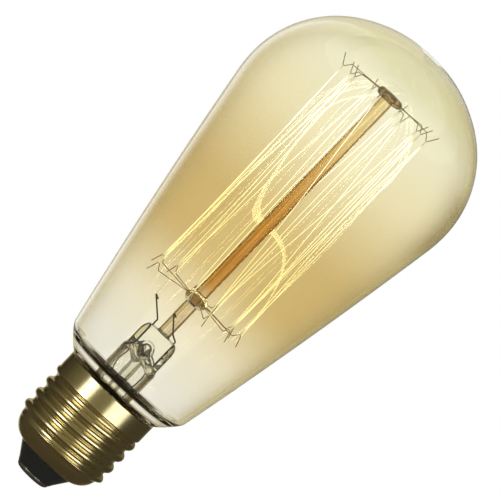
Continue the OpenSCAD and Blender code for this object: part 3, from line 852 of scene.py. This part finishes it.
def stem_outline(stem):
    """Closed outline from the pinched bore down inside the flare, round its skirt and up the outside."""
    bore = stem.tube_radius - stem.tube_wall
    sweep = stem.skirt_radius - stem.tube_radius
    centre = (stem.skirt_radius, stem.flare_height)
    quarter = math.pi / 2
    fine = stem.press_foot - PRESS_LEAD_IN
    inside = [(bore * share, stem.cavity_top) for share in (0, 0.2, 0.4, 0.6, 0.8, 0.9)]
    inside += reversed(rise_points(bore, fine, stem.cavity_top, PRESS_ROW))
    inside += reversed(rise_points(bore, stem.flare_height, fine))
    inside += arc(centre, sweep + stem.tube_wall, 2 * quarter, 3 * quarter, ARC_ROWS)
    outside = arc(centre, sweep, 3 * quarter, 2 * quarter, ARC_ROWS)
    outside += rise_points(stem.tube_radius, stem.flare_height, fine)
    outside += rise_points(stem.tube_radius, fine, stem.press_top - CORNER_DROP, PRESS_ROW)
    for k in range(ARC_ROWS + 1):
        turn = quarter * k / ARC_ROWS
        radius = stem.tube_radius - CORNER_WIDTH * (1 - math.cos(turn))
        outside.append((radius, stem.press_top - CORNER_DROP * (1 - math.sin(turn))))
    outside += [(stem.tube_radius * share, stem.press_top) for share in (0.55, 0.4, 0.25, 0.1, 0)]
    return inside + outside


# Where the tube's round front turns in to the flat press, as (side, height) in millimetres
SHELF = (
    (-5.6, 38.6),
    (-4.6, 39.2),
    (-3.2, 40.5),
    (-2.4, 40.2),
    (-0.9, 39.3),
    (0.7, 40.3),
    (2, 40),
    (3.4, 39),
    (5.6, 37.4),
)
SHELF_RISE = 1.5 * MM
CAVITY_DROP = 1 * MM


def shelf_height(x):
    """Height of the shelf at a place across the press."""
    side = x / MM
    if side <= SHELF[0][0]:
        return SHELF[0][1] * MM
    for before, after in zip(SHELF, SHELF[1:]):
        if side <= after[0]:
            share = eased((side - before[0]) / (after[0] - before[0]))
            return blended(before[1], after[1], share) * MM
    return SHELF[-1][1] * MM


def pinched(point, stem, inner):
    """Where a point of the round tube goes when the hot glass is squeezed into the press."""
    x, y, z = point
    shelf = shelf_height(x)
    if inner:
        share = eased((z - shelf + CAVITY_DROP + SHELF_RISE) / SHELF_RISE)
        wide, deep, power = 1.0, blended(1.0, 0.07, share), 2.0
    else:
        share = eased((z - shelf) / SHELF_RISE + 0.5)
        wide = blended(1.0, stem.press_width / 2 / stem.tube_radius, share)
        deep = blended(1.0, stem.press_thickness / 2 / stem.tube_radius, share)
        power = blended(2.0, 3.2, share)
    radius = math.hypot(x, y)
    if radius < MERGE_DISTANCE:
        return x, y, z
    side, front = abs(x) / radius, abs(y) / radius
    reach = radius * ((side / wide) ** power + (front / deep) ** power) ** (-1 / power)
    return x * reach / radius, y * reach / radius, z


PORT = Vector((-0.5 * MM, 40.4 * MM))
PORT_RADIUS = 1.5 * MM
PORT_DEPTH = 1.3 * MM
PORT_LIP = 0.25 * MM


def blown_port(x, z):
    """How far in the front of the press goes where the exhaust port was blown, with a low lip round it."""
    away = math.hypot(x - PORT.x, (z - PORT.y) * 0.9) / PORT_RADIUS
    dent = PORT_DEPTH * (1 - eased((away - 0.5) / 0.5))
    return dent - PORT_LIP * math.exp(-(((away - 1.15) / 0.2) ** 2))


EAR_LUMPS = 0.4 * MM


def chilled_lumps(x, z):
    """How far the uneven right-hand ear of the press stands in or out."""
    ear = eased((x / MM - 3.6) / 0.5) * eased((z / MM - 40.6) / 0.8)
    first = math.sin(4.6 * x / MM + 2 * z / MM)
    return EAR_LUMPS * ear * first * math.sin(5.4 * z / MM - 2.4 * x / MM)


# How far below the flare the stem starts to lean to the rod's axis, and over what height
LEAN_DROP = 4 * MM
LEAN_RISE = 6 * MM
BORE_MARGIN = 0.1 * MM
FACE_DEPTH = 0.5 * MM
CAVITY_RISE = 2 * MM


def shape_press(piece, stem):
    """Squeezes the top of the tube into the press, blows its port and leaves its ear uneven."""
    bore = stem.tube_radius - stem.tube_wall
    for vertex in piece.data.vertices:
        x, y, z = vertex.co
        inner = math.hypot(x, y) < bore + BORE_MARGIN and z < stem.cavity_top + BORE_MARGIN
        if z > stem.press_foot - PRESS_LEAD_IN:
            corner = max(math.hypot(x, y), stem.tube_radius - CORNER_WIDTH)
            x, y, z = pinched((x, y, z), stem, inner)
            if z > stem.press_top - CORNER_DROP:
                y *= (stem.tube_radius / corner) ** CORNER_FULLNESS
            side = -1 if y < 0 else 1
            if not inner and abs(y) > FACE_DEPTH:
                y -= side * chilled_lumps(x, z)
                y += blown_port(x, z) if y < 0 else 0
            if inner:
                lift = shelf_height(x) - CAVITY_DROP - stem.cavity_top
                z += lift * eased((z - stem.press_foot) / CAVITY_RISE)
        lean = eased((z - stem.flare_height + LEAN_DROP) / LEAN_RISE)
        vertex.co = (x + ROD_AXIS * lean, y, z)


# Faces round the flare, round the rod and the exhaust tube, and round a bead
STEM_STEPS = 192
ROD_STEPS = 48
BEAD_STEPS = 64
EXHAUST_WALL = 0.6 * MM
ROD_SINK = 0.05 * MM
ROD_FILLET = 0.7 * MM
FILLET_ROWS = 6
ROD_BEVEL = 0.2 * MM
BEAD_GAP = 0.01 * MM
# Name, the node that it stands for, and how far its rim bulges
BEADS = (("top_bead", "top_button", 0.85 * MM), ("lower_bead", "lower_button", 1.6 * MM))
BEAD_ROWS = 24


class LAMP_OT_stem(Operator):
    """Draw the stem: flare and press in one glass, the exhaust tube, the rod and its two beads"""

    bl_idname = "lamp.stem"
    bl_label = "Glass Stem"

    def execute(self, context):
        stem = settings().stem
        clear = stem_glass()
        piece = spun("flare_and_press", stem_outline(stem), STEM_STEPS)
        shape_press(piece, stem)
        finish(piece, clear, "clear_glass", "stem_flare", "stem_press", smooth=80)
        self.exhaust(stem, clear)
        self.rod(stem)
        self.beads(stem)
        return {"FINISHED"}

    def exhaust(self, stem, glass):
        """Exhaust tube with its drawn-off tip."""
        low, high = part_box("exhaust_tube")
        bore = stem.exhaust_radius - EXHAUST_WALL
        outline = [
            (0, low.z),
            (0.3 * MM, low.z),
            (0.75 * MM, low.z + 1.2 * MM),
            (1.2 * MM, low.z + 2.2 * MM),
            (stem.exhaust_radius, low.z + 3.4 * MM),
            (stem.exhaust_radius, high.z),
            (bore, high.z),
            (bore, low.z + 3.6 * MM),
            (0.5 * bore, low.z + 2.2 * MM),
            (0, low.z + 1.6 * MM),
        ]
        finish(spun("exhaust_stub", outline, ROD_STEPS, ROD_AXIS), glass, "clear_glass", "exhaust_tube")

    def rod(self, stem):
        """Rod with a melted fillet where it stands on the press."""
        foot = stem.press_top - ROD_SINK
        centre = (stem.rod_radius + ROD_FILLET, foot + ROD_FILLET)
        outline = [(0, foot), *arc(centre, ROD_FILLET, -math.pi / 2, -math.pi, FILLET_ROWS)]
        outline += [
            (stem.rod_radius, stem.rod_top - ROD_BEVEL),
            (stem.rod_radius - ROD_BEVEL, stem.rod_top),
            (0, stem.rod_top),
        ]
        finish(spun("cage_rod", outline, ROD_STEPS, ROD_AXIS), rod_glass(), "rod_glass", "arbor_rod")

    def beads(self, stem):
        """The two beads, each a ring melted on the rod."""
        glass = bead_glass()
        bore = stem.rod_radius + BEAD_GAP
        for name, node, bulge in BEADS:
            low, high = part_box(node)
            radius = high.x - ROD_AXIS - bulge
            middle = (low.z + high.z) / 2
            half = (high.z - low.z) / 2
            outline = [(bore, low.z)]
            for k in range(BEAD_ROWS + 1):
                turn = -math.pi / 2 + math.pi * k / BEAD_ROWS
                outline.append((radius + bulge * math.cos(turn), middle + half * math.sin(turn)))
            outline += [(bore, high.z), (bore, low.z)]
            finish(spun(name, outline, BEAD_STEPS, ROD_AXIS), glass, "button_glass", node)


TOP_RING = {
    "angles": (226, 190, 143, 110, 73, 41, 5, -34, -65, -99),
    "trims": (0.1, -0.2, -0.9, -0.2, 0.1, 0, 0.2, 0.9, 0, 0.4),
    "bead_radius": 3.5 * MM,
    "arm_height": 122.25 * MM,
    "seat": "top_seat",
    "bends": ((-1.35, 1.65), (0, -0.2), (1.7, 2.6)),
}
LOWER_RING = {
    "angles": (202, 168, 132, 100, 70, 35, 0, -37, -69),
    "trims": (-0.5, 0.8, 0.6, 0.2, 0.3, -0.5, 0, 0, -0.7),
    "bead_radius": 3.1 * MM,
    "arm_height": 57 * MM,
    "seat": "lower_seat",
    "bends": ((-1.3, -1.7), (0, 0.2), (1.1, -3.1)),
}
HOOK_BEND = 0.35 * MM
SEAT_GAP = 0.01 * MM
EMBED = 0.8 * MM
HOOK_DULL = (0.38, 0.29, 0.15)
WIRE_LINES = 40000
ARM_START = 0.6 * MM


def round_rod(radius, degrees, z):
    """Point at a radius, a direction round the rod and a height."""
    turn = math.radians(degrees)
    return Vector((ROD_AXIS + radius * math.cos(turn), radius * math.sin(turn), z))


def hook_corners(cage, ring, i):
    """Corners of a hook: an arm out of the bead, a V that holds the filament, and a free tip."""
    degrees = ring["angles"][i]
    arm, height = ring["bead_radius"], ring["arm_height"]
    seat = getattr(cage, ring["seat"]) + ring["trims"][i] * MM
    return [
        round_rod(arm - EMBED, degrees, height),
        round_rod(arm + ARM_START, degrees, height),
        *(round_rod(cage.radius + out * MM, degrees, seat + up * MM) for out, up in ring["bends"]),
    ]


class LAMP_OT_hooks(Operator):
    """Bend the nineteen wire hooks that carry the filament"""

    bl_idname = "lamp.hooks"
    bl_label = "Hooks"

    def execute(self, context):
        cage = settings().cage
        metal = handled_metal("dark hook wire", cage.hook_colour, HOOK_DULL, 0.45, 3000, WIRE_LINES)
        for name, ring in (("top", TOP_RING), ("lower", LOWER_RING)):
            for i in range(len(ring["angles"])):
                path = rounded(hook_corners(cage, ring, i), HOOK_BEND)
                piece = wire(f"{name}_hook_wire_{i + 1}", path, cage.hook_wire)
                finish(piece, metal, "hook_wire", f"{name}_hook_{i + 1}")
        return {"FINISHED"}


def seat_of(corners):
    """Middle of a hook's wire at the bend where the filament sits."""
    corner = corners[3]
    back = (corners[2] - corner).normalized()
    on = (corners[4] - corner).normalized()
    turn = math.pi - back.angle(on)
    return corner + (back + on).normalized() * HOOK_BEND * (1 / math.cos(turn / 2) - 1)


def saddle(cage, ring, i, side):
    """Two corners that take the filament over a hook's wire, or under it where side is -1."""
    seat = seat_of(hook_corners(cage, ring, i))
    reach = (cage.hook_wire + cage.filament_wire) / 2 + SEAT_GAP
    turn = math.radians(ring["angles"][i])
    on = Vector((math.sin(turn), -math.cos(turn), 0)) * reach
    off = Vector((0, 0, side * reach))
    return [seat - on + off, seat + on + off]


def filament_corners(cage):
    """Corners of the filament's whole way, from the left clamp round every hook to the right one."""
    corners = [LEFT_CLAMP]
    for i in range(len(TOP_RING["angles"])):
        corners += saddle(cage, TOP_RING, i, 1)
        if i < len(LOWER_RING["angles"]):
            corners += saddle(cage, LOWER_RING, i, -1)
    return [*corners, RIGHT_CLAMP]


STRAND_STEPS = 24
STRAND_LENGTH = 20 * MM
# From one strand to the next: how far the bow turns and how its depth varies
STRAND_TURN = 2.4
STRAND_VARIETY = 1.7
RIPPLE_SHARE = 0.25


def bowed(points, bow):
    """Adds points along each long strand, which stands off its straight line in the middle."""
    path = [points[0]]
    strand = 0
    for before, after in zip(points, points[1:]):
        span = after - before
        if span.length > STRAND_LENGTH:
            swing = STRAND_TURN * strand
            reach = 0.4 + 0.6 * math.sin(STRAND_VARIETY * strand) ** 2
            side = Vector((math.cos(swing), math.sin(swing), 0)) * bow * reach
            ripple = Vector((math.sin(swing), math.cos(swing), 0)) * bow * RIPPLE_SHARE
            for k in range(1, STRAND_STEPS):
                share = k / STRAND_STEPS
                wave = math.sin(math.pi * share)
                place = before + span * share + side * wave
                path.append(place + ripple * math.sin(3 * math.pi * share) * wave)
            strand += 1
        path.append(after)
    return path


class LAMP_OT_filament(Operator):
    """Wind the filament over every hook, from one lead to the other"""

    bl_idname = "lamp.filament"
    bl_label = "Filament"

    def execute(self, context):
        cage = settings().cage
        bend = (cage.hook_wire + cage.filament_wire) / 2
        path = bowed(rounded(filament_corners(cage), bend, 4), cage.strand_bow)
        piece = wire("zigzag_filament", path, cage.filament_wire)
        finish(piece, filament_glow(), "glowing_filament", "filament")
        return {"FINISHED"}


LEAD_DULL = (0.16, 0.14, 0.09)
SEALED = (0.05, 0.035, 0.02)
SEALED_DULL = (0.03, 0.025, 0.015)
COPPER = (0.15, 0.1, 0.05)
COPPER_DULL = (0.06, 0.045, 0.03)


class LAMP_OT_leads(Operator):
    """Finish the leads, their seals and the cement inside the cap"""

    bl_idname = "lamp.leads"
    bl_label = "Leads"

    def execute(self, context):
        cage = settings().cage
        nickel = handled_metal("dark nickel lead", cage.lead_colour, LEAD_DULL, 0.42, 2500, WIRE_LINES)
        sealed = handled_metal("sealed copper", SEALED, SEALED_DULL, 0.45, 2500, WIRE_LINES)
        copper = handled_metal("dulled copper", COPPER, COPPER_DULL, 0.45, 2500, WIRE_LINES)
        dress(nickel, "left_inner_lead", "right_inner_lead")
        dress(sealed, "left_seal_wire", "right_seal_wire")
        dress(copper, "centre_outer_lead", "side_outer_lead")
        dress(basing_cement(), "basing_cement")
        return {"FINISHED"}


THREAD_ROW = 0.12 * MM
COLLAR_ROW = 0.6 * MM
CURL_ROWS = 24
CURL_SIDE = 6.9 * MM
CURL_LIFT = 1.1 * MM


def thread_radius(cap, along):
    """Radius of the rolled profile at a distance along the axis from its crest."""
    quarter = cap.pitch / 4
    root = cap.crest_radius - 2 * (cap.thread_round - math.sqrt(cap.thread_round**2 - quarter**2))
    away = abs(along)
    if away <= quarter:
        return cap.crest_radius - cap.thread_round + math.sqrt(cap.thread_round**2 - away**2)
    return root + cap.thread_round - math.sqrt(cap.thread_round**2 - (2 * quarter - away) ** 2)


def curl_centre(cap):
    """Centre of the curl's arc, as (radius, height)."""
    return CURL_SIDE, cap.thread_foot + CURL_LIFT


def shell_radius(cap, turn, z):
    """Radius of the shell where the right-hand thread runs and where it fades at both ends."""
    along = z - cap.crest_height - cap.pitch * (turn - math.pi) / (2 * math.pi)
    thread = thread_radius(cap, along - cap.pitch * round(along / cap.pitch))
    centre = curl_centre(cap)
    foot = centre[0] + math.sqrt(cap.curl_radius**2 - (centre[1] - cap.thread_foot) ** 2)
    top = cap.thread_top - MM * (1 + math.cos(turn)) / 2
    above_foot = blended(foot, thread, eased((z - cap.thread_foot) / cap.run_out))
    return blended(above_foot, cap.collar_radius, eased((z - top) / cap.run_out + 1))


def shell_outline(cap):
    """Outline from the lip of the curl up to the rim, before the thread is rolled."""
    centre = curl_centre(cap)
    lip = -math.acos((cap.lip_radius - centre[0]) / cap.curl_radius)
    shoulder = -math.asin((centre[1] - cap.thread_foot) / cap.curl_radius)
    rows = round((cap.thread_top - cap.thread_foot) / THREAD_ROW)
    outline = arc(centre, cap.curl_radius, lip, shoulder, CURL_ROWS)
    for k in range(1, rows + 1):
        outline.append((cap.collar_radius, blended(cap.thread_foot, cap.thread_top, k / rows)))
    outline += rise_points(cap.collar_radius, cap.thread_top, cap.rim_height, COLLAR_ROW)
    return outline + [(cap.collar_radius, cap.rim_height)]


def roll_thread(piece, cap):
    """Presses the helix into the plain stretch of the shell."""
    for vertex in piece.data.vertices:
        x, y, z = vertex.co
        if cap.thread_foot < z <= cap.thread_top:
            turn = math.atan2(y, x) % (2 * math.pi)
            radius = shell_radius(cap, turn, z)
            vertex.co = (radius * math.cos(turn), radius * math.sin(turn), z)


RIM_BEVEL = 0.1 * MM
RIM_LIMIT = 50
CONTACT_DULL = (0.4, 0.38, 0.33)
SOLDER = (0.66, 0.66, 0.66)
SOLDER_DULL = (0.42, 0.42, 0.42)


class LAMP_OT_cap(Operator):
    """Roll the brass screw shell and finish the insulator, the contact and the solder"""

    bl_idname = "lamp.cap"
    bl_label = "Screw Cap"

    def execute(self, context):
        cap = settings().cap
        piece = spun("rolled_screw_shell", shell_outline(cap), cap.columns)
        roll_thread(piece, cap)
        apply_modifier(piece, "SOLIDIFY", thickness=cap.wall, offset=-1, use_even_offset=True)
        apply_modifier(
            piece,
            "BEVEL",
            width=RIM_BEVEL,
            segments=2,
            limit_method="ANGLE",
            angle_limit=math.radians(RIM_LIMIT),
        )
        finish(piece, cap_brass(), "cap_brass", "screw_shell", smooth=50)
        dress(black_glass(), "insulator")
        dress(handled_metal("tinned contact", cap.contact, CONTACT_DULL, 0.28, 900), "centre_contact")
        solder = handled_metal("soft solder", SOLDER, SOLDER_DULL, 0.35, 2500, 2000, 0.2)
        dress(solder, "contact_solder", "side_solder")
        lit = lit_collection("lit_cap").objects
        lit.link(piece)
        for node in ("insulator", "centre_contact", "contact_solder", "side_solder"):
            lit.link(frame["nodes"][node])
        return {"FINISHED"}


WHITE = (1, 1, 1)
FILL_STRENGTH = 0.7


def studio_world():
    """White surroundings for what is seen, reflected and refracted, and a softer fill light."""
    world = bpy.data.worlds.new("studio")
    bpy.context.scene.world = world
    world.use_nodes = True
    tree = world.node_tree
    fill = tree.nodes["Background"]
    fill.inputs["Color"].default_value = opaque(WHITE)
    fill.inputs["Strength"].default_value = FILL_STRENGTH
    white = add_node(tree, "Background", {"Color": opaque(WHITE), "Strength": 1})
    path = add_node(tree, "LightPath").outputs
    seen = maths(tree, "MAXIMUM", path["Is Camera Ray"], path["Is Glossy Ray"])
    shown = maths(tree, "MAXIMUM", seen, path["Is Transmission Ray"])
    light = add_node(tree, "MixShader", {0: shown, 1: fill.outputs[0], 2: white.outputs[0]})
    feed(tree, tree.nodes["World Output"], Surface=light.outputs[0])


def aim(thing, target):
    """Turns a light or a camera towards a point."""
    thing.rotation_euler = (Vector(target) - thing.location).to_track_quat("-Z", "Y").to_euler()


def lit_collection(name):
    """Collection of the pieces that a light or a bright card reaches, made when it is first asked for."""
    if name not in bpy.data.collections:
        bpy.data.collections.new(name)
    return bpy.data.collections[name]


SOFTBOX_DISTANCE = 0.45
SOFTBOX_HEIGHT = 0.06
SOFTBOX_TALL = 0.3
# Name, direction in degrees, width and brightness
SOFTBOXES = (("left_softbox", -38, 0.19, 3.2), ("right_softbox", 42, 0.34, 1.9))


def softbox(name, degrees, width, radiance):
    """Area light at a direction round the lamp, where 0 is the camera's side and positive is to the right."""
    turn = math.radians(degrees)
    place = (SOFTBOX_DISTANCE * math.sin(turn), -SOFTBOX_DISTANCE * math.cos(turn), SOFTBOX_HEIGHT)
    deselect()
    bpy.ops.object.light_add(type="AREA", location=place)
    light = bpy.context.object
    light.name = name
    light.data.shape = "RECTANGLE"
    light.data.size = width
    light.data.size_y = SOFTBOX_TALL
    light.data.energy = radiance * math.pi * width * SOFTBOX_TALL
    light.visible_camera = False
    light.light_linking.receiver_collection = lit_collection("lit_cap")
    aim(light, (0, 0, SOFTBOX_HEIGHT))


FLAG_LOW = -0.5
FLAG_HIGH = 0.8
FLAG_STEPS = 72


def flag_card(name, radius, stops, unlit=(0, 0, 0)):
    """Curved card round the lamp, whose shade changes with its direction, as (degrees, colour) stops."""
    first, last = stops[0][0], stops[-1][0]
    outline = [(radius, FLAG_LOW), (radius, FLAG_HIGH)]
    flag = spun(name, outline, FLAG_STEPS, turn=math.radians(last - first))
    select_only(flag)
    flag.rotation_euler.z = math.radians(last - 90)
    settle()
    made, tree, shader = new_material(
        name, Base_Color=opaque(unlit), Specular_IOR_Level=0.0, Emission_Strength=1.0
    )
    axes = object_axes(tree)
    along = maths(tree, "ARCTAN2", axes["X"], maths(tree, "MULTIPLY", axes["Y"], -1))
    share = rescaled(tree, along, math.radians(first), math.radians(last))
    places = [((degrees - first) / (last - first), shade) for degrees, shade in stops]
    feed(tree, shader, Emission_Color=ramp(tree, share, places))
    show_to_glass(flag, made)
    return flag


def show_to_glass(thing, material):
    """Gives a stage piece its finish and hides it from all but reflected and refracted rays."""
    thing.data.materials.append(material)
    thing.visible_camera = False
    thing.visible_diffuse = False
    thing.visible_volume_scatter = False
    thing.visible_shadow = False


SIDE_SHADE = (0.06, 0.053, 0.036)
LEFT_SHADE = (0.14, 0.125, 0.075)
FRONT_SHADE = (0.19, 0.175, 0.105)
RIM_SHADE = (0.5, 0.43, 0.27)
PALE_RIM_SHADE = (0.76, 0.7, 0.48)
BACK_SHADE = (0.2, 0.17, 0.1)
GLASS_SHADE = (0.3, 0.22, 0.12)
# The cards' shades, as (degrees, colour) stops in the softboxes' directions
REFLECTED = (
    (-178, RIM_SHADE),
    (-156, RIM_SHADE),
    (-145, SIDE_SHADE),
    (-110, SIDE_SHADE),
    (-75, LEFT_SHADE),
    (-25, FRONT_SHADE),
    (12, FRONT_SHADE),
    (70, SIDE_SHADE),
    (150, SIDE_SHADE),
    (164, BACK_SHADE),
    (178, BACK_SHADE),
)
STRIP = ((-156, RIM_SHADE), (-151, WHITE), (-140, WHITE), (-130, SIDE_SHADE))
LEFT_REFRACTED = ((-154, WHITE), (-142, GLASS_SHADE), (-45, GLASS_SHADE), (-35, WHITE))
RIGHT_REFRACTED = (
    (35, WHITE),
    (45, GLASS_SHADE),
    (138, GLASS_SHADE),
    (146, PALE_RIM_SHADE),
    (164, PALE_RIM_SHADE),
    (172, WHITE),
)
STRIP_GAP = 0.01
# Name, height, and colours in the middle and at the rim
CARDS = (
    ("bottom_flag", -0.2, (0.09, 0.07, 0.04), (0.09, 0.07, 0.04)),
    ("top_flag", 0.6, (0.4, 0.36, 0.2), (0.12, 0.1, 0.055)),
)
CARD_BLEND = (0.25, 0.45)
PAPER_TINTS = ((0.0, (0.95, 0.95, 0.95)), (1.0, (0.98, 0.98, 0.98)))
SENSOR_WIDTH = 36


class LAMP_OT_stage(Operator):
    """Set the camera, the floor, the white surroundings, the softboxes and the cards"""

    bl_idname = "lamp.stage"
    bl_label = "Stage"

    def execute(self, context):
        stage = settings().stage
        context.scene.view_settings.view_transform = "Standard"
        studio_world()
        self.camera(stage)
        self.floor(stage)
        for box in SOFTBOXES:
            softbox(*box)
        flag_card("reflected_flag", stage.flag_radius, REFLECTED).visible_transmission = False
        strip = flag_card("bulb_strip", stage.flag_radius - STRIP_GAP, STRIP, SIDE_SHADE)
        strip.visible_transmission = False
        strip.light_linking.receiver_collection = lit_collection("lit_bulb")
        for name, stops in (("left_flag", LEFT_REFRACTED), ("right_flag", RIGHT_REFRACTED)):
            flag_card(name, stage.flag_radius, stops).visible_glossy = False
        for card in CARDS:
            self.card(stage, *card)
        return {"FINISHED"}

    def camera(self, stage):
        """Long lens, a little above the lamp and rolled, as the lamp lies in the picture."""
        target = Vector((stage.aim_side, 0, stage.aim_height))
        back = Vector((0, -math.cos(stage.camera_height), math.sin(stage.camera_height)))
        deselect()
        bpy.ops.object.camera_add(location=target + back * stage.camera_distance)
        camera = bpy.context.object
        camera.rotation_mode = "QUATERNION"
        level = (-back).to_track_quat("-Z", "Y")
        camera.rotation_quaternion = level @ Quaternion((0, 0, 1), stage.camera_roll)
        camera.data.sensor_width = SENSOR_WIDTH
        camera.data.lens = SENSOR_WIDTH * stage.camera_distance / stage.view_width
        camera.data.clip_start = 0.05
        camera.data.clip_end = 20
        bpy.context.scene.camera = camera

    def floor(self, stage):
        """Pale floor below the lamp."""
        ground = level_square("floor", stage.floor_size, (0, 0, -stage.floor_depth))
        paper, tree, shader = new_material("white paper", Roughness=0.9)
        grain = add_node(tree, "TexNoise", {"Vector": object_place(tree), "Scale": 900})
        feed(tree, shader, Base_Color=ramp(tree, grain.outputs["Fac"], PAPER_TINTS))
        ground.data.materials.append(paper)
        ground.visible_glossy = False

    def card(self, stage, name, height, middle, rim):
        """Level card that is seen only in reflections, with its colours in the middle and at the rim."""
        thing = level_square(name, stage.floor_size, (0, 0, height))
        made, tree, shader = new_material(name, Roughness=1.0)
        away = add_node(tree, "VectorMath", {0: object_place(tree)}, operation="LENGTH")
        share = soft_step(tree, away.outputs["Value"], *CARD_BLEND)
        feed(tree, shader, Base_Color=mixed(tree, share, opaque(middle), opaque(rim)))
        show_to_glass(thing, made)
        thing.visible_transmission = False


class LAMP_PT_panel(Panel):
    """Lists the lamp's pieces"""

    bl_idname = "LAMP_PT_panel"
    bl_label = "Filament Lamp"
    bl_space_type = "VIEW_3D"
    bl_region_type = "UI"
    bl_category = "Lamp"

    def draw(self, context):
        for operator in OPERATORS:
            self.layout.operator(operator.bl_idname)


OPERATORS = (
    LAMP_OT_stage,
    LAMP_OT_bulb,
    LAMP_OT_stem,
    LAMP_OT_hooks,
    LAMP_OT_filament,
    LAMP_OT_leads,
    LAMP_OT_cap,
)
CLASSES = (
    BulbSettings,
    StemSettings,
    CageSettings,
    CapSettings,
    StageSettings,
    LampSettings,
    *OPERATORS,
    LAMP_PT_panel,
)


def register():
    """Registers the classes and the settings."""
    for item in CLASSES:
        bpy.utils.register_class(item)
    bpy.types.Scene.lamp = PointerProperty(type=LampSettings)


def unregister():
    """Takes the classes and the settings out again."""
    del bpy.types.Scene.lamp
    for item in reversed(CLASSES):
        bpy.utils.unregister_class(item)


def main():
    """Builds every piece and the stage."""
    register()
    height_share_group()
    ripple_group()
    wear_group()
    bpy.ops.lamp.stage()
    bpy.ops.lamp.bulb()
    bpy.ops.lamp.stem()
    bpy.ops.lamp.hooks()
    bpy.ops.lamp.filament()
    bpy.ops.lamp.leads()
    bpy.ops.lamp.cap()


if __name__ == "__main__":
    main()
